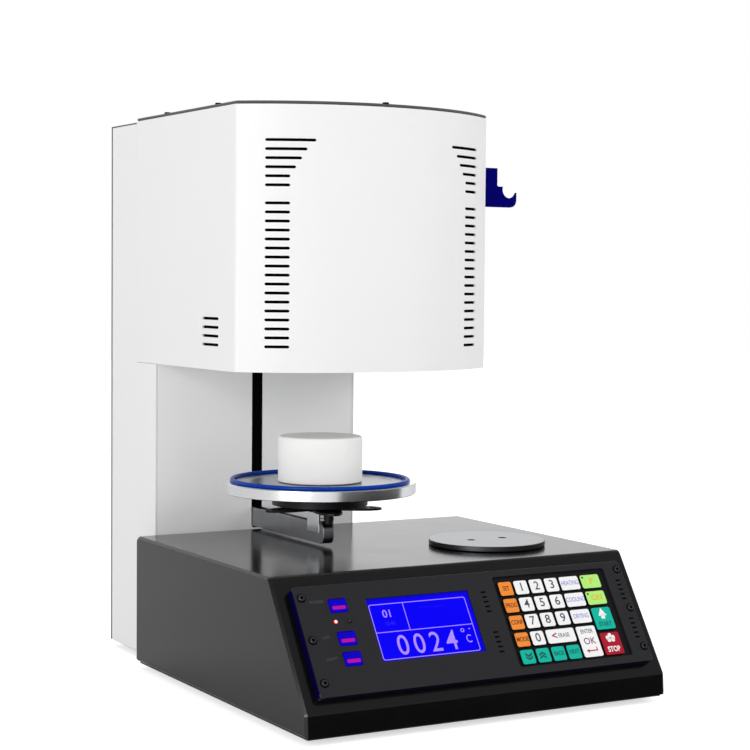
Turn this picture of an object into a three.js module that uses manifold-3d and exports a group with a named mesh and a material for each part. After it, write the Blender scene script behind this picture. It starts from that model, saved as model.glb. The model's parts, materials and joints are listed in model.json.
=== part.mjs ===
// A bottom-loading dental furnace: a black base with a sloping control panel, a white
// tower behind it, and a white head in which a lift carries the firing plug.
// Millimetres, +Z up. The origin is on the ground under the middle of the whole.
import * as THREE from 'three';
import { mergeVertices } from 'three/addons/utils/BufferGeometryUtils.js';
import Module from 'manifold-3d';

const wasm = await Module();
wasm.setup();

// Clearances and steps that all pieces share.
const seat = 0.3;
const overrun = 5;
const slitRoundShare = 0.45;
const sheet = 1.5;
const cornerSteps = 3;
const ventSteps = 1;
const keySteps = 2;
const roundSteps = 32;
const chamberSteps = 24;
const plateSteps = 48;
const holeSteps = 10;
const mergeReach = 1e-4;

// The base. Its rear wall is at y = 0 and its underside at z = 0 in this frame.
const base = {
  width: 333.2, height: 111, slopeTop: 261.4, slopeFoot: 323.4, footHeight: 17.5,
  depth: 324.7, bend: 5, edge: 2,
  passageWidth: 120, passageHeight: 60,
};
const tray = {
  plate: 1.5, inset: 3, foot: 11, footHeight: 4.2, footInset: 34, footTaperWidth: 1.5,
};
const groundDrop = seat + tray.plate + tray.footHeight;

// The tower and its slot, and the axis on which the lift and the chamber stand.
const tower = {
  width: 200, depth: 107.1, height: 477.3, side: 18.6, bend: 4,
  ventCount: 9, ventLength: 44, ventHeight: 3, ventPitch: 9, ventDown: 147.3,
};
const slot = { width: 11, low: 111.6, cornerRadius: 3 };

// The head: flat sides, a front bowed by a circle through its three named places.
const head = {
  width: 240.2, rear: 44.5, corner: 160.5, bowDepth: 45, rise: 0.9, drop: 214.8,
  edge: 3.9, steps: 20,
};
const vent = {
  inner: 86.2, outer: 106.9, height: 2.4, pitch: 7.23, down: 28.6, rows: 24, gapRow: 6,
  flareReach: 20.7, flareShares: [1, 0.66, 0.45, 0.22],
};
const sideVent = {
  length: 32.5, height: 2.4, pitch: 7.23, rows: 4, front: 130, rise: 42.5,
};
const lid = { plate: 2.4, edge: 1 };
const floor = { plate: 3, boreRadius: 40 };

// The chamber above the floor, all turned about one vertical axis.
const chamber = {
  forward: 121.6, wall: 1.5, hoodGap: 2.3, foldRadius: 6,
};
const muffle = {
  gap: 1, boreRadius: 45.5, throatHeight: 14, roomHeight: 72, crownHeight: 62,
  holeRadius: 3,
};
const heater = {
  wireRadius: 1.3, turns: 8, wallGap: 2.4, lowGap: 5, riseHeight: 56, steps: 18, sides: 6,
};
const probe = {
  radius: 2, tipLength: 18, neckRadius: 9, neckHeight: 7, blockWidth: 26, blockHeight: 14,
};

// The lift plate with its seal and the firing plug.
const plate = {
  radius: 82, thick: 9.2, top: 166, chamfer: 0.8, recessRadius: 20.4, recessDepth: 2,
  stepInset: 14, stepDepth: 0.3,
};
const seal = { radius: 1.8, ringRadius: 74.8, proudHeight: 1.2, sides: 8 };
const plug = { radius: 36, height: 39, edgeRadius: 3, spigotRadius: 20, waistWidth: 0.8 };

// The thin five-armed star, the disc above it and the stud in front that levels it.
const star = {
  radius: 36, swingWidth: 17, lobes: 5, start: -15, thick: 2, low: 142, holeRadius: 3,
  holeShare: 1.26, hubRadius: 17, discRadius: 41, discLow: 146.2, steps: 60,
  studRadius: 4.3, neckRadius: 3.2, neckHeight: 3, studDepth: 16,
};

// The arm that runs forward through the slot, and the bracket that stands the star on it.
const arm = {
  width: 10, low: 113.5, height: 17, front: 138, wall: 2, lipRadius: 6, lipTopRadius: 5,
  flangeWidth: 28, flangePlate: 4, flangeHeight: 34, flangeLow: 103,
};
const saddle = { plate: 2, rear: 112, length: 21, low: 123, edgeRadius: 3 };

// The drive in the tower: two rods and a screw between two bearing plates.
const drive = {
  back: 62, bottom: 52, plate: 8, span: 216, halfWidth: 46, front: 42, spineWidth: 30,
  rodRadius: 5, rodSpread: 32, screwRadius: 5, playGap: 0.3,
};
const carriage = { low: 100, height: 40, halfWidth: 43, depth: 36, edge: 1.5 };
const motor = { radius: 18, length: 40, flangeRadius: 21, flangePlate: 3, endRadius: 2 };

// The control panel. Places on it are x from its middle, and d down the slope.
const panel = {
  width: 309, height: 90.8, thick: 7, down: 12.5, corner: 3.5, edge: 0.6, restWidth: 7,
  restHeight: 3.2,
};
const screen = {
  width: 92.6, height: 51.9, x: -47.1, d: 53.5, sunkDepth: 0.7, flangeWidth: 3.5, backDepth: 3.9,
};
const keypad = {
  left: 29.1, top: 23.3, keyWidth: 12.45, keyHeight: 11.95, wideWidth: 18.6, gap: 2.45, gapHeight: 2.85,
  corner: 1.7, travel: 1.2, proudHeight: 0.7, stemLength: 3.2, edge: 0.5, playGap: 0.3,
  marginLeft: 3.5, marginRight: 7.8, marginTop: 5.1, marginBottom: 1.9,
  frameSunkDepth: 1.6, frameBackDepth: 3.6, frameFlangeWidth: 2.5,
};
const rocker = {
  width: 14, reachLength: 5.5, x: -118.7, places: [30.7, 57.9, 74.5], playGap: 0.3,
  pivotHeight: 5.7, liftHeight: 3.2, tilt: 7, thick: 3.4,
};
const lamp = { radius: 1.6, playGap: 0.2, proudHeight: 0.6, d: 44.1, places: [-124.9, -112.4] };
const panelVent = {
  length: 4.7, height: 1.5, pitch: 4.15, count: 5, x: [13.4, 146.9], tops: [30.3, 64.9],
};
const board = { width: 284, height: 77, plate: 1.6, shift: 4, playGap: 0.3 };
const power = {
  side: 47, y: -110, width: 96, depth: 70, height: 62, fins: 9, finWidth: 2.4, finDepth: 9,
};

// The round cooling plate on the base, the tong hook and the rear fittings.
const cooler = {
  radius: 50, thick: 4.6, side: 84, forward: 182.8, chamfer: 0.8, holeSpread: 16,
  holeRadius: 3.6, holeDepth: 2,
};
const hook = {
  thick: 3, forward: 150, down: 41.5, reach: 37.7, height: 34, stemWidth: 20.5,
  shoulderWidth: 23.4, shoulderDrop: 15.9, notchRadius: 7.5, notchReach: 30.6, notchDrop: 18.4,
  tipDrop: 20.2, cornerRadius: 6, flangeWidth: 22,
};
const inlet = {
  x: -52, z: 28, width: 50, height: 28, plate: 2.5, corner: 4, bodyWidth: 27.4, bodyHeight: 20,
  wall: 1.8, socketDepth: 14, pinWidth: 2, pinHeight: 4, pinLength: 8, pinSpread: 7, pinShift: 2,
  backDepth: 18, bodyCorner: 2,
};
const nozzle = {
  x: 48, z: 128, boreRadius: 2, flangeRadius: 9, flangePlate: 3, stemRadius: 4, barbRadius: 5.2,
  barbs: 3, barbLength: 5, tailLength: 12,
};

// Derived places.
const towerLeft = tower.side - base.width / 2;
const towerMiddle = towerLeft + tower.width / 2;
const towerRight = towerLeft + tower.width;
const towerBack = seat + tower.depth;
const rearEnd = towerBack + seat + nozzle.flangePlate + nozzle.barbs * nozzle.barbLength;
const midDepth = (base.depth - rearEnd) / 2;
const slopeAngle = Math.atan2(base.height - base.footHeight, base.slopeFoot - base.slopeTop);
const powerX = base.width / 2 - power.side - power.width / 2;
const coolerX = base.width / 2 - cooler.side;
const headUnder = tower.height - head.drop;
const headTop = tower.height + head.rise;
const headMiddle = towerLeft + head.width / 2;
const bowRadius = ((head.width / 2) ** 2 + head.bowDepth ** 2) / (2 * head.bowDepth);
const bowCentre = bowRadius - head.corner - head.bowDepth;
const chamberRadius = bowRadius - sheet - chamber.hoodGap
  - Math.hypot(towerMiddle - headMiddle, chamber.forward + bowCentre);
const floorTop = headUnder + floor.plate;
const keyColumns = [0, 1, 2, 3, 4].map((i) => keypad.left + i * (keypad.keyWidth + keypad.gap));
keyColumns.push(keyColumns[4] + keypad.wideWidth + keypad.gap);
const keyRows = [0, 1, 2, 3, 4].map((i) => keypad.top + i * (keypad.keyHeight + keypad.gapHeight));

const finish = (color, roughness, metalness) => () =>
  new THREE.MeshStandardMaterial({ color, roughness, metalness });
const whitePaint = finish(0xf1f2f4, 0.45, 0);
const blackPaint = finish(0x1c1c1e, 0.5, 0.2);
const panelBlack = finish(0x222226, 0.55, 0.1);
const screenBlue = finish(0x1414c8, 0.2, 0);
const boardGreen = finish(0x1e5a34, 0.6, 0);
const darkMetal = finish(0x2a2b33, 0.4, 0.7);
const steel = finish(0xb9bbc0, 0.32, 1);
const turned = finish(0xd4d6d9, 0.28, 1);
const sealBlue = finish(0x1f4fd0, 0.5, 0);
const fibre = finish(0xf3f3f1, 0.9, 0);
const hookNavy = finish(0x15154a, 0.4, 0.3);
const copper = finish(0x8c6a52, 0.5, 0.9);
const blackPlastic = finish(0x17171a, 0.5, 0);
const rockerBlue = finish(0x3322c8, 0.3, 0);
const keyOrange = finish(0xf59a3c, 0.5, 0);
const keyWhite = finish(0xf4f4f2, 0.5, 0);
const keyGreen = finish(0xbfe04a, 0.5, 0);
const keyTeal = finish(0x1fb6ae, 0.5, 0);
const keyRed = finish(0xd4213c, 0.5, 0);

// Closed three.js geometry as a solid, and a solid as geometry.
function solid(geometry) {
  const plain = geometry.clone();
  plain.deleteAttribute('normal');
  plain.deleteAttribute('uv');
  const merged = mergeVertices(plain, mergeReach);
  return new wasm.Manifold(new wasm.Mesh({
    numProp: 3,
    vertProperties: new Float32Array(merged.attributes.position.array),
    triVerts: new Uint32Array(merged.index.array),
  }));
}

function toGeometry(body) {
  const { vertProperties, triVerts } = body.getMesh();
  const geometry = new THREE.BufferGeometry();
  geometry.setAttribute('position', new THREE.BufferAttribute(vertProperties, 3));
  geometry.setIndex(new THREE.BufferAttribute(triVerts, 1));
  geometry.computeVertexNormals();
  return geometry;
}

const join = (bodies) => bodies.reduce((whole, body) => whole.add(body));
const cut = (body, tools) => tools.reduce((whole, tool) => whole.subtract(tool), body);

function piece(name, body, material) {
  const mesh = new THREE.Mesh(toGeometry(body), material());
  mesh.name = name;
  return mesh;
}

// A closed outline from corner points, each rounded by an arc of its own radius.
function outline(points, radii = [], steps = cornerSteps) {
  const shape = new THREE.Shape();
  points.forEach((point, i) => {
    const corner = new THREE.Vector2(...point);
    const before = new THREE.Vector2(...points.at(i - 1)).sub(corner).normalize();
    const after = new THREE.Vector2(...points[(i + 1) % points.length]).sub(corner).normalize();
    const radius = radii[i] ?? 0;
    const half = Math.acos(before.dot(after)) / 2;
    const stops = radius > 0 ? steps : 0;
    const away = before.clone().add(after).normalize();
    const centre = corner.clone().addScaledVector(away, radius / Math.sin(half));
    const turn = Math.sign(after.cross(before)) * (Math.PI - 2 * half);
    const start = centre.clone().negate().add(corner.clone()
      .addScaledVector(before, radius / Math.tan(half)));
    for (let step = 0; step <= stops; step += 1) {
      const spoke = start.clone().rotateAround(new THREE.Vector2(), stops ? turn * step / stops : 0);
      const spot = radius > 0 ? centre.clone().add(spoke) : corner;
      if (i === 0 && step === 0) shape.moveTo(spot.x, spot.y);
      else shape.lineTo(spot.x, spot.y);
    }
  });
  shape.closePath();
  return shape;
}

// The same corner points moved inwards by one distance (counter-clockwise outlines).
function inset(points, distance) {
  return points.map((point, i) => {
    const here = new THREE.Vector2(...point);
    const into = here.clone().sub(new THREE.Vector2(...points.at(i - 1))).normalize();
    const out = new THREE.Vector2(...points[(i + 1) % points.length]).sub(here).normalize();
    const bend = into.clone().add(out).normalize();
    const normal = new THREE.Vector2(-bend.y, bend.x);
    const miter = distance / normal.dot(new THREE.Vector2(-into.y, into.x));
    return here.addScaledVector(normal, miter).toArray();
  });
}

const box4 = (x0, y0, x1, y1) => [[x0, y0], [x1, y0], [x1, y1], [x0, y1]];

function centred(width, height, radius = 0, steps = cornerSteps) {
  const points = box4(-width / 2, -height / 2, width / 2, height / 2);
  return outline(points, Array(points.length).fill(radius), steps);
}

// A straight-sided polygon inscribed in a circle.
function ringShape(radius, sides) {
  const spots = Array.from({ length: sides }, (_, i) =>
    new THREE.Vector2(radius, 0).rotateAround(new THREE.Vector2(), 2 * Math.PI * i / sides));
  return new THREE.Shape(spots);
}

// Extrusions of an outline: upwards, sideways along X, or forwards along -Y.
function extrude(shape, depth, edge = 0) {
  return new THREE.ExtrudeGeometry(shape, {
    depth: depth - 2 * edge, curveSegments: cornerSteps, bevelEnabled: edge > 0,
    bevelThickness: edge, bevelSize: edge, bevelOffset: -edge, bevelSegments: 1,
  }).translate(0, 0, edge);
}

function upwards(shape, low, height, edge = 0) {
  return solid(extrude(shape, height, edge).translate(0, 0, low));
}

function sideways(shape, left, width, edge = 0) {
  const turn = new THREE.Matrix4().makeBasis(
    new THREE.Vector3(0, 1, 0), new THREE.Vector3(0, 0, 1), new THREE.Vector3(1, 0, 0),
  );
  return solid(extrude(shape, width, edge).applyMatrix4(turn).translate(left, 0, 0));
}

function forwards(shape, back, length, edge = 0) {
  const turn = new THREE.Matrix4().makeBasis(
    new THREE.Vector3(1, 0, 0), new THREE.Vector3(0, 0, 1), new THREE.Vector3(0, -1, 0),
  );
  return solid(extrude(shape, length, edge).applyMatrix4(turn).translate(0, back, 0));
}

const block = (x0, x1, y0, y1, low, height, edge = 0) =>
  upwards(outline(box4(x0, y0, x1, y1)), low, height, edge);

// A revolved profile of [radius, height] points about a vertical axis at x, y.
function revolved(profile, x = 0, y = 0, steps = roundSteps) {
  const points = profile.map(([radius, height]) => new THREE.Vector2(radius, height));
  const closed = points[0].equals(points.at(-1)) || points[0].x === 0;
  if (!closed) points.push(points[0].clone());
  return solid(new THREE.LatheGeometry(points, steps).rotateX(Math.PI / 2).translate(x, y, 0));
}

function rod(radius, low, height, x = 0, y = 0, steps = roundSteps) {
  return revolved([[0, low], [radius, low], [radius, low + height], [0, low + height]], x, y, steps);
}

const upSlope = (d) => -d;

// Corner points of the base's side outline, from the rear round to the front.
function baseSide(low) {
  return [
    [-base.depth, low], [0, low], [0, base.height], [-base.slopeTop, base.height],
    [-base.slopeFoot, base.footHeight],
  ];
}

function onSlope(body) {
  return body.rotate([slopeAngle * 180 / Math.PI, 0, 0])
    .translate([0, -base.slopeTop, base.height]);
}

function baseHousing() {
  const outer = outline(baseSide(0), [0, 0, base.bend, base.bend, base.bend]);
  const points = inset(baseSide(0), sheet);
  const front = points[0][0];
  points[0] = [front, -overrun];
  points[1] = [points[1][0], -overrun];
  const innerBend = base.bend - sheet;
  const inner = outline(points, [0, 0, innerBend, innerBend, innerBend]);
  const shell = sideways(outer, -base.width / 2, base.width, base.edge);
  const hollow = sideways(inner, sheet - base.width / 2, base.width - 2 * sheet);
  const windowMid = upSlope(panel.down + panel.height / 2);
  const opening = extrude(centred(panel.width - 2 * panel.restWidth,
    panel.height - 2 * panel.restHeight, panel.corner), 2 * overrun);
  const window = onSlope(solid(opening.translate(0, windowMid, -overrun)));
  const passage = block(towerMiddle - base.passageWidth / 2, towerMiddle + base.passageWidth / 2,
    -overrun, overrun, tray.inset, base.passageHeight);
  return cut(shell, [hollow, window, passage]);
}

function baseTray() {
  const edge = base.width / 2 - tray.inset;
  const outlineT = [
    [-edge, tray.inset - base.depth], [edge, tray.inset - base.depth], [edge, -tray.inset],
    [towerRight - tray.inset, -tray.inset], [towerRight - tray.inset, towerBack - tray.inset],
    [towerLeft + tray.inset, towerBack - tray.inset], [towerLeft + tray.inset, -tray.inset],
    [-edge, -tray.inset],
  ];
  const under = -seat - tray.plate;
  const floorPlate = upwards(outline(outlineT), under, tray.plate);
  const front = tray.footInset - base.depth;
  const back = towerBack - tray.footInset;
  const places = [
    [tray.footInset - base.width / 2, front], [base.width / 2 - tray.footInset, front],
    [towerLeft + tray.footInset, back], [towerRight - tray.footInset, back],
  ];
  const feet = places.map(([x, y]) => revolved([
    [0, -groundDrop], [tray.foot - tray.footTaperWidth, -groundDrop], [tray.foot, under],
    [tray.foot, under + tray.plate / 2], [0, under + tray.plate / 2],
  ], x, y, roundSteps / 2));
  return join([floorPlate, ...feet]);
}

function powerUnit() {
  const half = power.width / 2;
  const body = block(powerX - half, powerX + half, power.y - power.depth / 2,
    power.y + power.depth / 2, 0, power.height, tray.plate);
  const pitch = power.width / power.fins;
  const grooves = Array.from({ length: power.fins - 1 }, (_, i) => {
    const x = powerX - half + (i + 1) * pitch;
    return block(x - (pitch - power.finWidth) / 2, x + (pitch - power.finWidth) / 2,
      power.y - power.depth, power.y + power.depth, power.height - power.finDepth,
      power.finDepth + overrun);
  });
  return cut(body, grooves);
}

// Pieces of the sloping panel. Local x is to the right, y up the slope, z outwards.
const panelFace = seat + panel.thick;

function placed(shape, x, d, low, height, edge = 0) {
  return solid(extrude(shape, height, edge).translate(x, upSlope(d), low));
}

const through = (shape, x, d) => placed(shape, x, d, -overrun, panel.thick + 3 * overrun);

// The opening for the keypad, with all its sides moved outward by the given width.
function keypadBox(grow) {
  const left = keypad.left - keypad.marginLeft - grow;
  const right = keyColumns.at(-1) + keypad.wideWidth + keypad.marginRight + grow;
  const top = keypad.top - keypad.marginTop - grow;
  const bottom = keyRows.at(-1) + keypad.keyHeight + keypad.marginBottom + grow;
  return {
    width: right - left, height: bottom - top, x: (right + left) / 2, d: (bottom + top) / 2,
  };
}

function controlPanel() {
  const plateBody = placed(centred(panel.width, panel.height, panel.corner), 0,
    panel.down + panel.height / 2, seat, panel.thick, panel.edge);
  const pad = keypadBox(0);
  const slits = panelVent.x.flatMap((x) => panelVent.tops.flatMap((top) =>
    Array.from({ length: panelVent.count }, (_, i) =>
      through(centred(panelVent.length, panelVent.height), x, top + i * panelVent.pitch))));
  const opening = rocker.reachLength + rocker.playGap;
  const rockers = rocker.places.map((d) =>
    through(centred(rocker.width + 2 * rocker.playGap, 2 * opening), rocker.x, d));
  const lamps = lamp.places.map((x) => through(centred(2 * (lamp.radius + lamp.playGap),
    2 * (lamp.radius + lamp.playGap), lamp.radius), x, lamp.d));
  return cut(plateBody, [
    through(centred(screen.width + 2 * seat, screen.height + 2 * seat), screen.x, screen.d),
    through(centred(pad.width, pad.height, keypad.corner), pad.x, pad.d),
    ...slits, ...rockers, ...lamps,
  ]);
}

function screenModule() {
  const front = placed(centred(screen.width, screen.height), screen.x, screen.d,
    -screen.backDepth, panelFace - screen.sunkDepth + screen.backDepth);
  const rimWidth = screen.width + 2 * screen.flangeWidth;
  const rimHeight = screen.height + 2 * screen.flangeWidth;
  const rim = placed(centred(rimWidth, rimHeight), screen.x, screen.d, -screen.backDepth,
    screen.backDepth);
  return front.add(rim);
}

// Each key: name, finish, column, row, and how wide and high it is.
const tallHigh = keypad.keyHeight + (keypad.keyHeight + keypad.gapHeight) / 2;
const halfDown = (keypad.keyHeight + keypad.gapHeight) / 2;
function keyTable() {
  const { keyWidth, keyHeight } = keypad;
  const plain = (name, material, column, row, width = keyWidth, high = keyHeight, down = 0) =>
    ({ name, material, x: keyColumns[column], d: keyRows[row] + down, width, high });
  const menu = [0, 1, 2, 3].map((row) => plain(`key_menu_${row + 1}`, keyOrange, 0, row));
  const digits = [1, 2, 3, 4, 5, 6, 7, 8, 9].map((n) =>
    plain(`key_digit_${n}`, keyWhite, 1 + (n - 1) % 3, Math.floor((n - 1) / 3)));
  const wide = [0, 1, 2].map((row) =>
    plain(`key_mode_${row + 1}`, keyWhite, 4, row, keypad.wideWidth));
  const green = [0, 1].map((row) =>
    plain(`key_program_${row + 1}`, keyGreen, 5, row, keypad.wideWidth));
  const teal = ['key_down', 'key_up', 'key_back', 'key_next'].map((name, column) =>
    plain(name, keyTeal, column, 4));
  const double = 2 * keypad.keyWidth + keypad.gap;
  const twoHigh = 2 * keypad.keyHeight + keypad.gapHeight;
  return [
    ...menu, ...digits, plain('key_digit_0', keyWhite, 1, 3),
    plain('key_erase', keyWhite, 2, 3, double), ...wide, ...green, ...teal,
    plain('key_enter', keyWhite, 4, 3, keypad.wideWidth, twoHigh),
    plain('key_start', keyTeal, 5, 2, keypad.wideWidth, tallHigh),
    plain('key_stop', keyRed, 5, 3, keypad.wideWidth, tallHigh, halfDown),
  ];
}
const keys = keyTable();

function keyCap(key, margin, low, height, edge = 0) {
  const shape = centred(key.width + 2 * margin, key.high + 2 * margin, keypad.corner + margin,
    keySteps);
  return placed(shape, key.x + key.width / 2, key.d + key.high / 2, low, height, edge);
}

const keyBody = (key) =>
  keyCap(key, 0, -keypad.stemLength, panelFace + keypad.proudHeight + keypad.stemLength, keypad.edge);

function keypadFrame() {
  const pad = keypadBox(-seat);
  const front = placed(centred(pad.width, pad.height, keypad.corner), pad.x, pad.d,
    -keypad.frameBackDepth, panelFace - keypad.frameSunkDepth + keypad.frameBackDepth);
  const rimBox = keypadBox(keypad.frameFlangeWidth);
  const rim = placed(centred(rimBox.width, pad.height), rimBox.x, rimBox.d,
    -keypad.frameBackDepth, keypad.frameBackDepth);
  const holes = keys.map((key) => keyCap(key, keypad.playGap, -overrun, panel.thick + 3 * overrun));
  return cut(front.add(rim), holes);
}

function controlBoard() {
  const top = -keypad.stemLength - keypad.travel - board.playGap;
  const mid = panel.down + panel.height / 2;
  const plateBody = placed(centred(board.width, board.height), board.shift, mid,
    top - board.plate, board.plate);
  const lamps = lamp.places.map((x) => {
    const height = panelFace + lamp.proudHeight - top + board.plate / 2;
    return rod(lamp.radius, top - board.plate / 2, height, x, upSlope(lamp.d), holeSteps);
  });
  return join([plateBody, ...lamps]);
}

// A rocker is the part of a round bar that its dished top and flat base leave.
function rockerCap(d) {
  const tilt = THREE.MathUtils.degToRad(rocker.tilt);
  const top = rocker.pivotHeight + rocker.liftHeight - rocker.reachLength * Math.sin(tilt);
  const rise = rocker.reachLength * Math.tan(2 * tilt) / 2;
  const half = rocker.reachLength;
  const low = rocker.pivotHeight - rocker.thick;
  const dished = outline([
    [-half, low], [half, low], [half, top + rise], [0, top], [-half, top + rise],
  ]);
  const left = rocker.x - rocker.width / 2;
  const bar = sideways(ringShape(rocker.reachLength, roundSteps), left, rocker.width)
    .translate([0, 0, rocker.pivotHeight]);
  const tipped = sideways(dished, left, rocker.width).intersect(bar);
  return tipped.translate([0, 0, -rocker.pivotHeight]).rotate([rocker.tilt, 0, 0])
    .translate([0, upSlope(d), rocker.pivotHeight]);
}

function coolingPlate() {
  const low = base.height + seat;
  const top = low + cooler.thick;
  const disc = revolved([
    [0, low], [cooler.radius - cooler.chamfer, low], [cooler.radius, low + cooler.chamfer],
    [cooler.radius, top - cooler.chamfer], [cooler.radius - cooler.chamfer, top], [0, top],
  ], coolerX, -cooler.forward, plateSteps);
  const holes = [-1, 1].map((side) => rod(cooler.holeRadius, top - cooler.holeDepth,
    cooler.holeDepth + overrun, coolerX + side * cooler.holeSpread, -cooler.forward, holeSteps));
  return cut(disc, holes);
}

const ventRound = (height) => height * slitRoundShare;

// The tower: a folded cover with a plain front panel let in between its sides.
function slits(count, length, height, pitch, x, low, back) {
  return Array.from({ length: count }, (_, i) => {
    const shape = centred(length, height, ventRound(height), ventSteps);
    return forwards(shape, back, 2 * overrun).translate([x, 0, low + i * pitch]);
  });
}

function towerCover() {
  const points = box4(towerLeft, seat, towerRight, towerBack);
  const outer = upwards(outline(points, [0, 0, tower.bend, tower.bend]), 0, tower.height);
  const inner = upwards(outline(box4(towerLeft + sheet, -overrun, towerRight - sheet,
    towerBack - sheet), [0, 0, tower.bend - sheet, tower.bend - sheet]), -overrun,
  tower.height + overrun - sheet);
  const notch = block(towerLeft - overrun, towerRight + overrun, -overrun, head.rear + seat,
    headUnder - seat, tower.height);
  const behind = (shape, { x, z }) =>
    forwards(shape, towerBack + overrun, 2 * overrun).translate([towerMiddle + x, 0, z]);
  const bodyHole = behind(centred(inlet.bodyWidth + 2 * seat, inlet.bodyHeight + 2 * seat,
    inlet.bodyCorner), inlet);
  const pipeWidth = 2 * (nozzle.stemRadius + seat);
  const pipe = behind(centred(pipeWidth, pipeWidth, nozzle.stemRadius), nozzle);
  const grille = slits(tower.ventCount, tower.ventLength, tower.ventHeight, tower.ventPitch,
    towerMiddle, tower.height - tower.ventDown, towerBack + overrun);
  return cut(outer, [inner, notch, bodyHole, pipe, ...grille]);
}

function towerFront() {
  const side = sheet + seat;
  const plateBody = block(towerLeft + side, towerRight - side, seat, seat + sheet, 0,
    tower.height - side);
  const passage = block(towerMiddle - base.passageWidth / 2, towerMiddle + base.passageWidth / 2,
    -overrun, overrun, tray.inset, base.passageHeight);
  const high = headUnder - slot.low;
  const gap = forwards(centred(slot.width, high, slot.cornerRadius), overrun, 2 * overrun)
    .translate([towerMiddle, 0, slot.low + high / 2]);
  return cut(plateBody, [passage, gap]);
}

// The head's plan outline: straight sides, rounded corners and the bowed front.
function headPlan(distance, rear) {
  const half = head.width / 2 - distance;
  const radius = bowRadius - distance;
  const reach = Math.asin(half / radius);
  const points = [[headMiddle + half, rear], [headMiddle - half, rear]];
  for (let step = 0; step <= head.steps; step += 1) {
    const angle = reach * (2 * step / head.steps - 1);
    points.push([headMiddle + radius * Math.sin(angle), bowCentre - radius * Math.cos(angle)]);
  }
  const radii = points.map((_, i) => (i === 2 || i === points.length - 1 ? head.edge : 0));
  return outline(points, radii);
}

// Vent rows reach inwards further at the top, where they fan out.
function ventCuts() {
  const cuts = [];
  for (let row = 0; row < vent.rows; row += 1) {
    if (row === vent.gapRow) continue;
    const inner = vent.inner - vent.flareReach * (vent.flareShares[row] ?? 0);
    const length = vent.outer - inner;
    const angle = (vent.outer + inner) / 2 / bowRadius;
    const shape = centred(length, vent.height, ventRound(vent.height), ventSteps);
    [-1, 1].forEach((side) => {
      const tool = forwards(shape, -bowRadius + 2 * overrun, 4 * overrun);
      cuts.push(tool.rotate([0, 0, side * angle * 180 / Math.PI])
        .translate([headMiddle, bowCentre, headTop - vent.down - row * vent.pitch]));
    });
  }
  return cuts;
}

function sideCuts() {
  const shape = centred(sideVent.length, sideVent.height, ventRound(sideVent.height), ventSteps);
  return Array.from({ length: sideVent.rows }, (_, row) => {
    const z = headUnder + sideVent.rise - row * sideVent.pitch;
    return sideways(shape, towerLeft - overrun, 2 * overrun)
      .translate([0, sideVent.length / 2 - sideVent.front, z]);
  });
}

function hood() {
  const high = headTop - headUnder;
  const outer = upwards(headPlan(0, head.rear), headUnder, high);
  const inner = upwards(headPlan(sheet, head.rear - sheet), headUnder - overrun,
    high + 2 * overrun);
  const doorway = block(towerLeft + sheet, towerRight + seat, head.rear - 2 * sheet,
    head.rear + overrun, headUnder - overrun, high + 2 * overrun);
  return cut(outer, [inner, doorway, ...ventCuts(), ...sideCuts()]);
}

function hoodLid() {
  return upwards(headPlan(0, head.rear), headTop + seat, lid.plate, lid.edge);
}

function headFloor() {
  const plan = upwards(headPlan(sheet + seat, head.rear - sheet - seat), headUnder, floor.plate);
  const behind = block(towerLeft - overrun, towerRight + seat, 0, head.rear + overrun,
    headUnder - overrun, floor.plate + 2 * overrun);
  const bore = rod(floor.boreRadius, headUnder - overrun, floor.plate + 2 * overrun,
    towerMiddle, -chamber.forward);
  return cut(plan, [behind, bore]);
}

const onAxis = (profile, steps = roundSteps) =>
  revolved(profile, towerMiddle, -chamber.forward, steps);

const muffleLow = floorTop + seat;
const muffleRoof = muffleLow + muffle.throatHeight + muffle.roomHeight;
const muffleTop = muffleRoof + muffle.crownHeight;

function chamberCasing() {
  const low = floorTop + seat;
  const top = muffleTop + seat + chamber.wall;
  const inner = chamberRadius - chamber.wall;
  const hole = muffle.holeRadius;
  return onAxis([
    [inner, low], [chamberRadius, low], [chamberRadius, top - chamber.foldRadius],
    [chamberRadius - chamber.foldRadius, top], [hole, top], [hole, top - chamber.wall],
    [inner - chamber.foldRadius, top - chamber.wall],
    [inner, top - chamber.wall - chamber.foldRadius],
  ], chamberSteps);
}

function muffleRing() {
  const outer = chamberRadius - chamber.wall - muffle.gap;
  return onAxis([
    [floor.boreRadius, muffleLow], [outer, muffleLow], [outer, muffleTop - 2 * chamber.foldRadius],
    [outer - 2 * chamber.foldRadius, muffleTop], [muffle.holeRadius, muffleTop],
    [muffle.holeRadius, muffleRoof], [muffle.boreRadius, muffleRoof],
    [muffle.boreRadius, muffleLow + muffle.throatHeight],
    [floor.boreRadius, muffleLow + muffle.throatHeight],
  ], chamberSteps);
}

// The winding: one unbroken wire wound up the bore, with straight ends.
class Winding extends THREE.Curve {
  getPoint(share, target = new THREE.Vector3()) {
    const radius = muffle.boreRadius - heater.wallGap;
    const angle = share * heater.turns * 2 * Math.PI;
    const low = muffleLow + muffle.throatHeight + heater.lowGap;
    return target.set(towerMiddle + radius * Math.cos(angle),
      radius * Math.sin(angle) - chamber.forward, low + share * heater.riseHeight);
  }
}

function heaterWinding() {
  const geometry = new THREE.ExtrudeGeometry(ringShape(heater.wireRadius, heater.sides), {
    steps: heater.turns * heater.steps, extrudePath: new Winding(), bevelEnabled: false,
  });
  return solid(geometry);
}

function thermocouple() {
  const top = muffleTop + 2 * seat + chamber.wall;
  return onAxis([
    [0, muffleRoof - probe.tipLength], [probe.radius, muffleRoof - probe.tipLength],
    [probe.radius, top],
    [probe.neckRadius, top], [probe.neckRadius, top + probe.neckHeight],
    [probe.blockWidth / 2, top + probe.neckHeight],
    [probe.blockWidth / 2, top + probe.neckHeight + probe.blockHeight],
    [0, top + probe.neckHeight + probe.blockHeight],
  ], roundSteps / 2);
}

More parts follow.
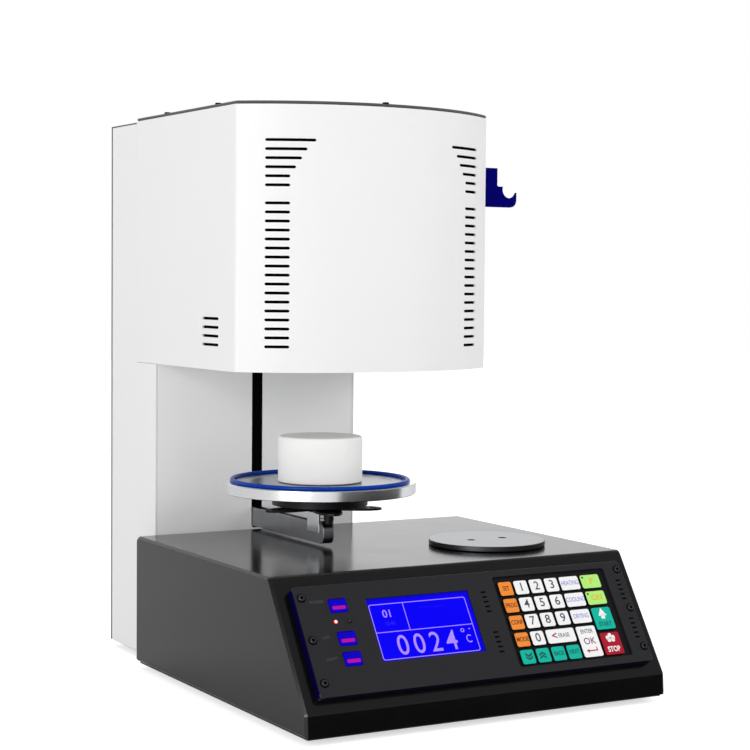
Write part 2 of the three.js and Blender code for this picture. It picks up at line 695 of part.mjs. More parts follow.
// The lift: arm, saddle, star, plate, seal and plug.
function liftArm() {
  const left = towerMiddle - arm.width / 2;
  const back = drive.front - seat;
  const top = arm.low + arm.height;
  const side = outline([[-arm.front, arm.low], [back, arm.low], [back, top], [-arm.front, top]],
    [arm.lipRadius, 0, 0, arm.lipTopRadius]);
  const bar = sideways(side, left, arm.width);
  const trough = block(left + arm.wall, left + arm.width - arm.wall, arm.wall - arm.front,
    back - arm.flangePlate, arm.low + arm.wall, arm.height);
  const flange = block(towerMiddle - arm.flangeWidth / 2, towerMiddle + arm.flangeWidth / 2,
    back - arm.flangePlate, back, arm.flangeLow, arm.flangeHeight);
  return cut(bar, [trough]).add(flange);
}

const armTop = arm.low + arm.height;

function armSaddle() {
  const half = arm.width / 2 + seat;
  const outerHalf = half + saddle.plate;
  const top = star.low - seat;
  const web = armTop + seat;
  const shape = outline([
    [-outerHalf, saddle.low], [-half, saddle.low], [-half, web], [half, web],
    [half, saddle.low], [outerHalf, saddle.low], [outerHalf, top], [-outerHalf, top],
  ], [0, 0, 0, 0, 0, 0, saddle.edgeRadius, saddle.edgeRadius]);
  const channel = forwards(shape, -saddle.rear, saddle.length).translate([towerMiddle, 0, 0]);
  const window = block(towerMiddle - half, towerMiddle + half,
    -saddle.rear - saddle.length - overrun, overrun - saddle.rear,
    web + saddle.plate, top - web - 2 * saddle.plate);
  return cut(channel, [window]);
}

function carrierStar() {
  const shape = new THREE.Shape();
  const start = THREE.MathUtils.degToRad(star.start);
  const spot = (i) => {
    const angle = 2 * Math.PI * i / star.steps;
    const reach = star.radius + star.swingWidth * Math.cos(star.lobes * angle);
    return [reach * Math.sin(angle + start), -reach * Math.cos(angle + start)];
  };
  shape.moveTo(...spot(0));
  for (let i = 1; i < star.steps; i += 1) shape.lineTo(...spot(i));
  const flat = upwards(shape, star.low, star.thick).translate([towerMiddle, -chamber.forward, 0]);
  const top = plate.top - plate.thick - seat;
  const hub = onAxis([
    [0, star.low], [star.hubRadius, star.low], [star.hubRadius, star.discLow],
    [star.discRadius, star.discLow], [star.discRadius, top], [0, top],
  ]);
  const holes = Array.from({ length: star.lobes }, (_, i) => {
    const angle = start + 2 * Math.PI * i / star.lobes;
    const reach = star.radius * star.holeShare;
    return rod(star.holeRadius, star.low - overrun, star.thick + 2 * overrun,
      towerMiddle + reach * Math.sin(angle), -chamber.forward - reach * Math.cos(angle), holeSteps);
  });
  const low = armTop + seat;
  const stud = revolved([
    [0, low], [star.neckRadius, low], [star.neckRadius, low + star.neckHeight],
    [star.studRadius, low + star.neckHeight], [star.studRadius, star.low + star.thick / 2],
    [0, star.low + star.thick / 2],
  ], towerMiddle, -chamber.forward - star.studDepth, holeSteps * 2);
  return join([cut(flat, holes), hub, stud]);
}

const sealMiddle = plate.top + seal.proudHeight;

function liftPlate() {
  const low = plate.top - plate.thick;
  const { radius, top, chamfer } = plate;
  const inner = seal.ringRadius - seal.radius - seat;
  const outer = seal.ringRadius + seal.radius + seat;
  const grooveLow = sealMiddle - seal.radius - seat;
  const step = inner - plate.stepInset;
  const recessLow = top - plate.recessDepth - plate.stepDepth;
  return onAxis([
    [0, low], [radius - chamfer, low], [radius, low + chamfer], [radius, top - chamfer],
    [radius - chamfer, top], [outer, top], [outer, grooveLow], [inner, grooveLow],
    [inner, top], [step, top], [step, top - plate.stepDepth],
    [plate.recessRadius, top - plate.stepDepth], [plate.recessRadius, recessLow], [0, recessLow],
  ], plateSteps);
}

function sealRing() {
  const profile = Array.from({ length: seal.sides + 1 }, (_, i) => {
    const angle = 2 * Math.PI * (i % seal.sides) / seal.sides;
    return [seal.ringRadius + seal.radius * Math.cos(angle),
      sealMiddle + seal.radius * Math.sin(angle)];
  });
  return onAxis(profile, plateSteps);
}

function firingPlug() {
  const low = plate.top - plate.stepDepth + seat;
  const top = low + plug.height;
  const corner = Array.from({ length: cornerSteps + 1 }, (_, i) => {
    const angle = i / cornerSteps * Math.PI / 2;
    return [plug.radius - plug.edgeRadius + plug.edgeRadius * Math.cos(angle),
      top - plug.edgeRadius + plug.edgeRadius * Math.sin(angle)];
  });
  const spigotLow = low - plate.recessDepth + seat;
  return onAxis([
    [0, spigotLow], [plug.spigotRadius, spigotLow], [plug.spigotRadius, low],
    [plug.radius - plug.waistWidth, low], [plug.radius, low + plug.waistWidth], ...corner, [0, top],
  ]);
}

// The drive in the tower.
function liftFrame() {
  const { bottom, plate: thick, span, halfWidth, front } = drive;
  const back = towerBack - sheet - seat;
  const left = towerMiddle - halfWidth;
  const right = towerMiddle + halfWidth;
  const bore = drive.screwRadius + drive.playGap;
  const plates = [bottom, bottom + span].map((low) => cut(
    block(left, right, front, back, low, thick),
    [rod(bore, low - overrun, thick + 2 * overrun, towerMiddle, drive.back, holeSteps * 2)],
  ));
  const spine = block(towerMiddle - drive.spineWidth, towerMiddle + drive.spineWidth,
    back - thick, back, bottom, span + thick);
  const rods = [-1, 1].map((side) => rod(drive.rodRadius, bottom + thick / 2, span,
    towerMiddle + side * drive.rodSpread, drive.back, roundSteps / 2));
  return join([...plates, spine, ...rods]);
}

function leadScrew() {
  const low = drive.bottom;
  const top = low + drive.span + drive.plate;
  return revolved([[0, low], [drive.screwRadius, low], [drive.screwRadius, top], [0, top]],
    towerMiddle, drive.back, roundSteps / 2);
}

function liftMotor() {
  const top = drive.bottom - seat;
  const low = top - motor.length;
  return revolved([
    [0, low], [motor.radius - motor.endRadius, low], [motor.radius, low + motor.endRadius],
    [motor.radius, top - motor.flangePlate], [motor.flangeRadius, top - motor.flangePlate],
    [motor.flangeRadius, top], [0, top],
  ], towerMiddle, drive.back, roundSteps / 2);
}

function liftCarriage() {
  const { low, height, halfWidth, depth, edge } = carriage;
  const body = block(towerMiddle - halfWidth, towerMiddle + halfWidth, drive.front,
    drive.front + depth, low, height, edge);
  const bores = [-1, 0, 1].map((side) => {
    const radius = (side ? drive.rodRadius : drive.screwRadius) + drive.playGap;
    return rod(radius, low - overrun, height + 2 * overrun,
      towerMiddle + side * drive.rodSpread, drive.back, roundSteps / 2);
  });
  return cut(body, bores);
}

// The tong hook: a flat arm with a round notch and a foot on the head's right side.
function tongHook() {
  const left = headMiddle + head.width / 2 + seat;
  const top = headTop - hook.down;
  const low = top - hook.height;
  const stem = left + hook.stemWidth - hook.thick;
  const shoulder = top - hook.shoulderDrop;
  const shape = outline([
    [left, low], [left + hook.reach, low], [left + hook.reach, top - hook.tipDrop],
    [left + hook.shoulderWidth, shoulder], [stem, shoulder], [stem, top], [left, top],
  ], [0, hook.cornerRadius, 0, 0, hook.thick / 2, 0, 0]);
  const notch = forwards(ringShape(hook.notchRadius, roundSteps), hook.thick - hook.forward,
    2 * hook.thick).translate([left + hook.notchReach, 0, top - hook.notchDrop]);
  const flat = forwards(shape, hook.thick / 2 - hook.forward, hook.thick);
  const foot = block(left, left + hook.thick, -hook.forward, hook.flangeWidth - hook.forward,
    low, hook.height);
  return cut(flat, [notch]).add(foot);
}

// The mains inlet: a plate with a hollow socket, three flat pins and a rear shroud.
function mainsInlet() {
  const face = towerBack + seat + inlet.plate;
  const x = towerMiddle + inlet.x;
  const at = (body) => body.translate([x, 0, inlet.z]);
  const flange = forwards(centred(inlet.width, inlet.height, inlet.corner), face, inlet.plate);
  const shroud = forwards(centred(inlet.bodyWidth, inlet.bodyHeight, inlet.bodyCorner), face,
    inlet.plate + inlet.backDepth);
  const hollow = forwards(centred(inlet.bodyWidth - 2 * inlet.wall, inlet.bodyHeight - 2 * inlet.wall,
    inlet.bodyCorner), face + overrun, inlet.socketDepth + overrun);
  const pins = [-1, 0, 1].map((side) => forwards(centred(inlet.pinWidth, inlet.pinHeight),
    face - inlet.socketDepth + inlet.pinLength, inlet.pinLength + inlet.wall)
    .translate([side * inlet.pinSpread, 0, side ? -inlet.pinShift : inlet.pinShift]));
  return at(join([cut(flange.add(shroud), [hollow]), ...pins]));
}

// The vacuum hose nozzle: a flange, a stem through the wall and three barbs.
function vacuumNozzle() {
  const face = seat + nozzle.flangePlate;
  const barbs = Array.from({ length: nozzle.barbs }, (_, i) => [
    [nozzle.barbRadius, face + i * nozzle.barbLength],
    [nozzle.stemRadius, face + (i + 1) * nozzle.barbLength],
  ]).flat();
  const profile = [
    [nozzle.boreRadius, -nozzle.tailLength], [nozzle.stemRadius, -nozzle.tailLength],
    [nozzle.stemRadius, seat],
    [nozzle.flangeRadius, seat], [nozzle.flangeRadius, face], ...barbs,
    [nozzle.boreRadius, face + nozzle.barbs * nozzle.barbLength],
  ];
  return revolved(profile, 0, 0, roundSteps / 2).rotate([-90, 0, 0])
    .translate([towerMiddle + nozzle.x, towerBack, nozzle.z]);
}

const furnace = new THREE.Group();
furnace.position.set(0, midDepth, groundDrop);

const slope = new THREE.Group();
slope.position.set(0, -base.slopeTop, base.height);
slope.rotation.x = slopeAngle;
slope.add(
  piece('control_panel', controlPanel(), panelBlack),
  piece('display', screenModule(), screenBlue),
  piece('keypad_frame', keypadFrame(), blackPlastic),
  piece('control_board', controlBoard(), boardGreen),
  ...['rocker_upper', 'rocker_middle', 'rocker_lower'].map((name, i) =>
    piece(name, rockerCap(rocker.places[i]), rockerBlue)),
  ...keys.map((key) => piece(key.name, keyBody(key), key.material)),
);

furnace.add(
  slope,
  piece('base_housing', baseHousing(), blackPaint),
  piece('base_tray', baseTray(), blackPaint),
  piece('power_unit', powerUnit(), darkMetal),
  piece('cooling_plate', coolingPlate(), turned),
  piece('tower_cover', towerCover(), whitePaint),
  piece('tower_front', towerFront(), whitePaint),
  piece('lift_frame', liftFrame(), steel),
  piece('lead_screw', leadScrew(), steel),
  piece('lift_motor', liftMotor(), darkMetal),
  piece('lift_carriage', liftCarriage(), turned),
  piece('lift_arm', liftArm(), steel),
  piece('arm_saddle', armSaddle(), steel),
  piece('carrier_star', carrierStar(), darkMetal),
  piece('lift_plate', liftPlate(), turned),
  piece('seal_ring', sealRing(), sealBlue),
  piece('firing_plug', firingPlug(), fibre),
  piece('hood', hood(), whitePaint),
  piece('hood_lid', hoodLid(), whitePaint),
  piece('head_floor', headFloor(), turned),
  piece('chamber_casing', chamberCasing(), steel),
  piece('muffle', muffleRing(), fibre),
  piece('heater_winding', heaterWinding(), copper),
  piece('thermocouple', thermocouple(), fibre),
  piece('tong_hook', tongHook(), hookNavy),
  piece('mains_inlet', mainsInlet(), blackPlastic),
  piece('vacuum_nozzle', vacuumNozzle(), turned),
);

export default furnace;
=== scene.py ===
import json
import math

import bmesh
import bpy
from mathutils import Matrix, Vector

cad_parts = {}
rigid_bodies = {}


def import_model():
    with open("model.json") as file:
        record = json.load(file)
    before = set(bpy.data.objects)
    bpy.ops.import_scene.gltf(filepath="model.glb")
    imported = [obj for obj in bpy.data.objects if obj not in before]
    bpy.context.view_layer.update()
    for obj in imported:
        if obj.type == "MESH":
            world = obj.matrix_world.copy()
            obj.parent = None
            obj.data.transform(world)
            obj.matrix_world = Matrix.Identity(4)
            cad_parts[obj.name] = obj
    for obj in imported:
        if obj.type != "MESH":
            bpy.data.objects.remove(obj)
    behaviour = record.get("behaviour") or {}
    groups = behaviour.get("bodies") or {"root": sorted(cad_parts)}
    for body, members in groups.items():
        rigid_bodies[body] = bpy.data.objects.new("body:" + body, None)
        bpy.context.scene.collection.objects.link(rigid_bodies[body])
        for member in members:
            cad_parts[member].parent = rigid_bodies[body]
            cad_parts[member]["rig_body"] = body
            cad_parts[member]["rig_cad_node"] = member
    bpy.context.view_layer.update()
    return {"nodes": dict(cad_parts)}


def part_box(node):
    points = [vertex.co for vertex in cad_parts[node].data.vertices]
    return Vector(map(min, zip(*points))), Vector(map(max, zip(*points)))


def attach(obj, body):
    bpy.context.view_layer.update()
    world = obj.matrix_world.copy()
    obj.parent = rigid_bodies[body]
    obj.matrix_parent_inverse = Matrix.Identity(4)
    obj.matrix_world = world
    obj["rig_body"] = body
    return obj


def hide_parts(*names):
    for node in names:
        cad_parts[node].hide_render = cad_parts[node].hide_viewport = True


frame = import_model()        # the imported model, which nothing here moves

mm = 0.001
print("frame loaded:", len(frame["nodes"]), "nodes")

# Camera

view = {        # angles in degrees, the lens in millimetres
    "place": (-799.1 * mm, -1429.9 * mm, 342.45 * mm),
    "azimuth": -29.74,
    "pitch": -2.85,
    "roll": 0.49,
    "lens": 89.9,
    "near": 10 * mm,
    "far": 100,
}


def addCamera():
    side, tilt, roll = (math.radians(view[key]) for key in ("azimuth", "pitch", "roll"))
    level = math.cos(tilt)
    ahead = Vector((-math.sin(side) * level, math.cos(side) * level, math.sin(tilt)))
    right = Vector((math.cos(side), math.sin(side), 0))
    up = right.cross(ahead)
    rolledRight = math.cos(roll) * right + math.sin(roll) * up
    rolledUp = math.cos(roll) * up - math.sin(roll) * right
    bpy.ops.object.camera_add()
    camera = bpy.context.object
    turn = Matrix((rolledRight, rolledUp, -ahead)).transposed().to_4x4()
    camera.matrix_world = Matrix.Translation(view["place"]) @ turn
    camera.data.lens = view["lens"]
    camera.data.clip_start = view["near"]
    camera.data.clip_end = view["far"]
    bpy.context.scene.camera = camera


addCamera()
print("camera placed")

# Finishes


def tint(code):        # a web colour as linear light
    shares = [int(code[i:i + 2], 16) / 255 for i in (1, 3, 5)]
    return [c / 12.92 if c <= 0.04045 else ((c + 0.055) / 1.055) ** 2.4 for c in shares] + [1]


def scaled(colour, share):
    return [min(1, c * share) for c in colour[:3]] + [1]


plainLook = {
    "metal": 0, "mottle": 0.04, "cloud": 14 * mm, "cloudDetail": 4, "grain": 0.5 * mm, "grainDetail": 2,
    "relief": 0.01 * mm, "bump": 0.8, "roughSpread": 0.05, "leastRough": 0.02, "pattern": "cast",
    "centre": (0, 0, 0), "stretch": (1, 1, 1),
}


def finish(name, colour, rough, sockets=None, **changes):
    look = {**plainLook, **changes}
    material = bpy.data.materials.new(name)
    material.use_nodes = True
    nodes = material.node_tree.nodes
    link = material.node_tree.links.new
    shader = nodes["Principled BSDF"]
    place = nodes.new("ShaderNodeTexCoord")
    turn = nodes.new("ShaderNodeMapping")
    link(place.outputs["Object"], turn.inputs["Vector"])
    clouds = nodes.new("ShaderNodeTexNoise")
    clouds.inputs["Scale"].default_value = 1 / look["cloud"]
    clouds.inputs["Detail"].default_value = look["cloudDetail"]
    link(place.outputs["Object"], clouds.inputs["Vector"])
    fine = nodes.new("ShaderNodeTexNoise")
    fine.inputs["Scale"].default_value = 1 / look["grain"]
    fine.inputs["Detail"].default_value = look["grainDetail"]
    if look["pattern"] == "turned":        # rings about an upright axis through the centre
        turn.inputs["Location"].default_value = (-look["centre"][0], -look["centre"][1], 0)
        turn.inputs["Scale"].default_value = (1, 1, 0)
        reach = nodes.new("ShaderNodeVectorMath")
        reach.operation = "LENGTH"
        link(turn.outputs["Vector"], reach.inputs[0])
        fine.noise_dimensions = "1D"
        link(reach.outputs["Value"], fine.inputs["W"])
    else:
        turn.inputs["Scale"].default_value = look["stretch"]
        link(turn.outputs["Vector"], fine.inputs["Vector"])
    blend = nodes.new("ShaderNodeMix")
    blend.data_type = "RGBA"        # its colours are the inputs 6 and 7 and the output 2
    base = tint(colour)
    blend.inputs[6].default_value = scaled(base, 1 - look["mottle"])
    blend.inputs[7].default_value = scaled(base, 1 + look["mottle"])
    link(clouds.outputs["Fac"], blend.inputs[0])
    link(blend.outputs[2], shader.inputs["Base Color"])
    wander = nodes.new("ShaderNodeMapRange")
    wander.inputs["To Min"].default_value = max(look["leastRough"], rough - look["roughSpread"])
    wander.inputs["To Max"].default_value = rough + look["roughSpread"]
    link((clouds if look["pattern"] == "cast" else fine).outputs["Fac"], wander.inputs["Value"])
    link(wander.outputs["Result"], shader.inputs["Roughness"])
    bump = nodes.new("ShaderNodeBump")
    bump.inputs["Distance"].default_value = look["relief"]
    bump.inputs["Strength"].default_value = look["bump"]
    link(fine.outputs["Fac"], bump.inputs["Height"])
    link(bump.outputs["Normal"], shader.inputs["Normal"])
    shader.inputs["Metallic"].default_value = look["metal"]
    for socket, value in (sockets or {}).items():
        shader.inputs[socket].default_value = value
    return material


glowLook = {"rough": 0.5, "shine": 0.04, "relief": 0.002 * mm}


def glow(name, colour, strength, body="#020206"):        # light from within a dark body
    sockets = {"Emission Color": tint(colour), "Emission Strength": strength,
               "Specular IOR Level": glowLook["shine"]}
    return finish(name, body, glowLook["rough"], sockets, relief=glowLook["relief"])


plateMiddle = sum(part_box("lift_plate"), Vector()) / 2
coolerMiddle = sum(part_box("cooling_plate"), Vector()) / 2
coat = {"grain": 0.7 * mm, "relief": 0.012 * mm, "mottle": 0.012, "cloud": 60 * mm}
whitePaint = finish("whitePaint", "#f0f0f0", 0.42, **coat)
# painted light: the white paint made paler for the tower's front, which the head shades
paintedLitFrontWhite = finish("paintedLitFrontWhite", "#fbfbfb", 0.42, **coat)
blackPaint = finish("blackPaint", "#0b0b0c", 0.16, {"Specular IOR Level": 0.55},
                    **{**coat, "mottle": 0.1})
# black for black parts such as washers and screws, and painted shade inside the hood, behind the slits and in
# sockets and holes
blackAndShade = finish("blackAndShade", "#050507", 0.9, {"Specular IOR Level": 0.05})
# painted shade: dark grey for the gaps between the cover sheets and along the lid's edges
gapShadeGrey = finish("gapShadeGrey", "#55565a", 0.5)
panelBlack = finish("panelBlack", "#242427", 0.5, {"Specular IOR Level": 0.35}, grain=0.3 * mm,
                    mottle=0.06)
# the panel's blue acrylic edge: painted light makes it glow on the lit left side, and painted shade darkens
# it on the right and under
paintedLitEdgeBlue = glow("paintedLitEdgeBlue", "#070048", 0.3, body="#02001a")
paintedShadeEdgeBlue = finish("paintedShadeEdgeBlue", "#050018", 0.4, {"Specular IOR Level": 0.2})
# black plastic, and painted shade on the keys' sides
blackPlasticAndShade = finish("blackPlasticAndShade", "#101013", 0.5, {"Specular IOR Level": 0.3}, grain=0.3 * mm)
blackRubber = finish("blackRubber", "#141416", 0.75, grain=0.3 * mm, relief=0.03 * mm)
blackSteel = finish("blackSteel", "#17171a", 0.3, metal=0.8, mottle=0.1)
greySteel = finish("greySteel", "#57575c", 0.4, metal=0.9, mottle=0.1)
boardGreen = finish("boardGreen", "#0e2a16", 0.45, mottle=0.15)
turnedMetal = finish("turnedMetal", "#f3f4f6", 0.2, metal=1, pattern="turned", centre=plateMiddle,
                     grain=0.5 * mm, relief=0.006 * mm)
turnedTop = finish("turnedTop", "#b9bcc0", 0.3, metal=1, pattern="turned", centre=plateMiddle,
                   grain=0.4 * mm, relief=0.01 * mm)
# painted shade: darker steel for the cooling plate's side
coolerSideShade = finish("coolerSideShade", "#4a4b4f", 0.4, metal=1, mottle=0.1)
coolerMetal = finish("coolerMetal", "#bfc1c3", 0.36, metal=1, pattern="turned", centre=coolerMiddle,
                     grain=0.5 * mm, relief=0.008 * mm)
brushedSteel = finish("brushedSteel", "#c9ccd0", 0.28, metal=1, pattern="brushed",
                      stretch=(1, 0.02, 1), grain=0.35 * mm, relief=0.006 * mm)
armSteel = finish("armSteel", "#98999c", 0.3, metal=1, pattern="brushed", stretch=(1, 0.02, 1),
                  grain=0.35 * mm, relief=0.008 * mm, mottle=0.12)
polishedSteel = finish("polishedSteel", "#dcdee0", 0.13, metal=1, grain=0.3 * mm, relief=0.002 * mm,
                       roughSpread=0.03)
castAlloy = finish("castAlloy", "#b4b7bb", 0.4, metal=1, grain=0.8 * mm, relief=0.02 * mm)
floorAlloy = finish("floorAlloy", "#f0f0f0", 0.5, metal=0.6, grain=0.8 * mm, relief=0.01 * mm)
starMetal = finish("starMetal", "#08080f", 0.42, {"Specular IOR Level": 0.3}, mottle=0.15)
brass = finish("brass", "#c9a24c", 0.3, metal=1)
sealBlue = finish("sealBlue", "#003aa2", 0.3, {"Specular IOR Level": 0.15}, mottle=0.05)
fibreWhite = finish("fibreWhite", "#fdfdfa", 0.85, grain=0.9 * mm, relief=0.05 * mm, mottle=0.03,
                    cloud=9 * mm)
muffleWhite = finish("muffleWhite", "#e6e3da", 0.95, grain=1.2 * mm, relief=0.12 * mm, mottle=0.08)
windingMetal = finish("windingMetal", "#5a463a", 0.5, metal=0.9, mottle=0.25, cloud=3 * mm)
hookNavy = finish("hookNavy", "#010066", 0.55, {"Specular IOR Level": 0.02}, grain=0.7 * mm)
rockerBlue = glow("rockerBlue", "#0c02c6", 0.9, body="#040228")
rockerLit = glow("rockerLit", "#c0149e", 0.95)
bezelBlue = glow("bezelBlue", "#2a0a9c", 0.6)
screenBlue = glow("screenBlue", "#0902f8", 1, body="#000002")
screenDeep = glow("screenDeep", "#0b04d0", 1, body="#000002")
screenPale = glow("screenPale", "#b18fff", 1)
screenFaint = glow("screenFaint", "#3423ee", 1)
lampRed = glow("lampRed", "#ff2a26", 2.2)
lampCore = glow("lampCore", "#ffd9d2", 2.0)
lampDark = finish("lampDark", "#2a0708", 0.2, {"Coat Weight": 0.6})
dullRubber = {"Specular IOR Level": 0.2}
softRubber = {"grain": 0.35 * mm, "relief": 0.008 * mm, "mottle": 0.02}
keyWhite = finish("keyWhite", "#f4f4f4", 0.5, dullRubber, **softRubber)
keyOrange = finish("keyOrange", "#f28d34", 0.5, dullRubber, **softRubber)
keyGreen = finish("keyGreen", "#b4ee7c", 0.5, dullRubber, **softRubber)
keyTeal = finish("keyTeal", "#00b6a0", 0.5, dullRubber, **softRubber)
keyRed = finish("keyRed", "#ae0a2a", 0.5, dullRubber, **softRubber)
inkGrey = finish("inkGrey", "#4a4c54", 0.6)
inkBrown = finish("inkBrown", "#7a3b12", 0.6)
inkViolet = finish("inkViolet", "#8f8bd6", 0.6)
inkRed = finish("inkRed", "#b0243c", 0.6)
inkYellow = finish("inkYellow", "#e3c21c", 0.6)
inkDeep = finish("inkDeep", "#0b5a52", 0.6)
inkPlum = finish("inkPlum", "#8c4f74", 0.6)
inkWhite = finish("inkWhite", "#f6f6f6", 0.6)
inkPale = finish("inkPale", "#6d6e74", 0.6)
inkFaint = finish("inkFaint", "#4a4a50", 0.6)
print("finishes made")

# Ways of shaping

near = 0.01 * mm        # places closer than this are the same
clear = 5 * mm        # how far outside a piece a cutter ends and a ray starts
facesWay = 0.9        # a face or an edge with more than this share of a way counts as pointing that way


def only(*pieces):
    bpy.ops.object.select_all(action="DESELECT")
    for piece in pieces:
        piece.select_set(True)
    bpy.context.view_layer.objects.active = pieces[0]


def startEdit(piece):
    only(piece)
    bpy.ops.object.mode_set(mode="EDIT")
    bpy.ops.mesh.select_mode(type="FACE")
    bpy.ops.mesh.select_all(action="DESELECT")


def endEdit():
    bpy.ops.object.mode_set(mode="OBJECT")


def choose(piece, rule, kind="FACE"):        # in edit mode, selects what the rule takes
    bpy.ops.mesh.select_mode(type=kind)
    bpy.ops.mesh.select_all(action="DESELECT")
    mesh = bmesh.from_edit_mesh(piece.data)
    mesh.normal_update()
    for part in (mesh.faces if kind == "FACE" else mesh.edges):
        if rule(part):
            part.select_set(True)
    bmesh.update_edit_mesh(piece.data)


def runsUp(edge, share=0.999):        # whether an edge runs along z
    way = (edge.verts[1].co - edge.verts[0].co).normalized()
    return abs(way.z) > share


def settle(piece, name=None):        # puts the piece's place in its mesh
    only(piece)
    bpy.ops.object.transform_apply(location=True, rotation=True, scale=True)
    if name:
        piece.name = name
    return piece


def modified(piece, kind, **values):
    modifier = piece.modifiers.new(kind.title(), kind)
    for key, value in values.items():
        setattr(modifier, key, value)
    only(piece)
    bpy.ops.object.modifier_apply(modifier=modifier.name)
    return piece


def softened(piece, width, segments=3, limit=32):
    return modified(piece, "BEVEL", width=width, segments=segments, limit_method="ANGLE",
                    angle_limit=math.radians(limit), use_clamp_overlap=True)


def smooth(piece, angle=40):
    only(piece)
    bpy.ops.object.shade_smooth_by_angle(angle=math.radians(angle))
    return modified(piece, "WEIGHTED_NORMAL", keep_sharp=True, weight=60)


def paint(piece, *materials):
    piece.data.materials.clear()
    for material in materials:
        piece.data.materials.append(material)
    return piece


def paintFaces(piece, index, rule):        # gives the faces that the rule takes the indexed finish
    for face in piece.data.polygons:
        if rule(face.center, face.normal):
            face.material_index = index
    return piece


def hand(piece, body, slot, *nodes):        # the piece rides and stands for the nodes
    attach(piece, body)
    if nodes:
        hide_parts(*nodes)


def nodeCopy(node, name, width=0, segments=2, angle=40):        # a merged and softened CAD node
    only(frame["nodes"][node])
    bpy.ops.object.duplicate()
    piece = bpy.context.object
    piece.name = name
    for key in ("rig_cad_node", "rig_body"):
        del piece[key]
    piece.parent = None
    startEdit(piece)
    bpy.ops.mesh.select_all(action="SELECT")
    bpy.ops.mesh.remove_doubles(threshold=0.002 * mm)
    bpy.ops.mesh.dissolve_limited(angle_limit=math.radians(0.3))
    endEdit()
    if width:
        softened(piece, width, segments)
    return smooth(piece, angle)


def turned(name, centre, rings, steps):        # a solid of rings, each a radius and a height
    x, y = centre[0], centre[1]
    radius, height = rings[0]
    bpy.ops.object.select_all(action="DESELECT")
    bpy.ops.mesh.primitive_circle_add(vertices=steps, radius=radius, location=(x, y, height),
                                      fill_type="NGON")
    piece = settle(bpy.context.object, name)
    startEdit(piece)
    bpy.ops.mesh.select_all(action="SELECT")
    for nextRadius, nextHeight in rings[1:]:
        rise = (0, 0, nextHeight - height)
        bpy.ops.mesh.extrude_region_move(TRANSFORM_OT_translate={"value": rise})
        share = nextRadius / radius
        bpy.ops.transform.resize(value=(share, share, 1), center_override=(x, y, nextHeight))
        radius, height = nextRadius, nextHeight
    bpy.ops.mesh.select_all(action="SELECT")
    bpy.ops.mesh.remove_doubles(threshold=0.001 * mm)
    bpy.ops.mesh.normals_make_consistent(inside=False)
    endEdit()
    return piece


def block(name, low, high):        # a box between two corners
    size = Vector(high) - Vector(low)
    bpy.ops.object.select_all(action="DESELECT")
    bpy.ops.mesh.primitive_cube_add(size=1, location=(Vector(high) + Vector(low)) / 2)
    bpy.context.object.scale = size
    return settle(bpy.context.object, name)


def roundedBlock(name, low, high, corner, edge):        # upright corners rounded, top edge softened
    piece = block(name, low, high)
    startEdit(piece)
    choose(piece, runsUp, "EDGE")
    bpy.ops.mesh.bevel(offset=corner, segments=5, affect="EDGES")
    if edge:
        choose(piece, lambda part: part.normal.z > facesWay)
        bpy.ops.mesh.bevel(offset=edge, segments=3, affect="EDGES")
    endEdit()
    return piece


def merged(name, *pieces):        # one object from several
    only(*pieces)
    bpy.ops.object.join()
    pieces[0].name = name
    return pieces[0]


def copied(piece, place, name):        # a copy with its own mesh
    twin = piece.copy()
    twin.data = piece.data.copy()
    bpy.context.collection.objects.link(twin)
    twin.data.transform(place)
    twin.name = name
    return twin


# The sloping panel's own frame: x to the right, y up the slope, z out of it

slope = {"rise": 93.5 * mm, "run": 62 * mm, "y": -161.9 * mm, "z": 117 * mm, "face": 7.3 * mm}
slopeTurn = Matrix.Translation((0, slope["y"], slope["z"])) @ Matrix.Rotation(
    math.atan2(slope["rise"], slope["run"]), 4, "X")
slopeBack = slopeTurn.inverted()
slopeOut = (slopeTurn.to_3x3() @ Vector((0, 0, 1))).normalized()
printed = 0.05 * mm        # how far ink stands out
arrowShape = {"stemHalf": 0.4, "stemTop": -0.3}        # shares of the arrow's size


def onSlope(piece):        # from the panel's frame to the part's
    piece.data.transform(slopeTurn)
    piece.data.update()
    return piece


def slopeBox(node):        # a node's corners in the panel's frame
    spots = [slopeBack @ corner.co for corner in frame["nodes"][node].data.vertices]
    return tuple(Vector(pick(spot[i] for spot in spots) for i in range(3)) for pick in (min, max))


def wording(text, size, x, y, z, ink, squeeze=1, bold=0.008, turn=0):        # printed letters
    bpy.ops.object.select_all(action="DESELECT")
    bpy.ops.object.text_add(location=(x, y, z))
    piece = bpy.context.object
    piece.data.body = text
    piece.data.size = size
    piece.data.align_x = "CENTER"
    piece.data.align_y = "CENTER"
    piece.data.extrude = printed
    piece.data.offset = bold * size
    piece.data.resolution_u = 4
    piece.scale.x = squeeze
    piece.rotation_euler.z = math.radians(turn)
    only(piece)
    bpy.ops.object.convert(target="MESH")
    return paint(settle(bpy.context.object), ink)


def strip(left, under, right, over, z, ink):        # a flat printed bar
    return paint(block("strip", (left, under, z - printed), (right, over, z + printed)), ink)


def arrow(x, y, z, size, ink, turn=0, stem=0):        # a printed arrow that points up, then turned
    bpy.ops.object.select_all(action="DESELECT")
    bpy.ops.mesh.primitive_circle_add(vertices=3, radius=size, fill_type="NGON", location=(0, 0, z))
    piece = settle(bpy.context.object, "arrow")
    startEdit(piece)
    bpy.ops.mesh.select_all(action="SELECT")
    bpy.ops.mesh.extrude_region_move(TRANSFORM_OT_translate={"value": (0, 0, printed)})
    endEdit()
    if stem:
        half, top = arrowShape["stemHalf"] * size, arrowShape["stemTop"]
        bar = block("stem", (-half, (top - stem) * size, z), (half, top * size, z + printed))
        piece = merged("arrow", piece, bar)
    turning = Matrix.Rotation(math.radians(turn), 4, "Z")
    piece.data.transform(Matrix.Translation((x, y, 0)) @ turning)
    return paint(piece, ink)


print("tools ready")

# Base, tower and head

cover = {"soft": 0.5 * mm, "traySoft": 0.3 * mm, "footTop": 4.3 * mm}


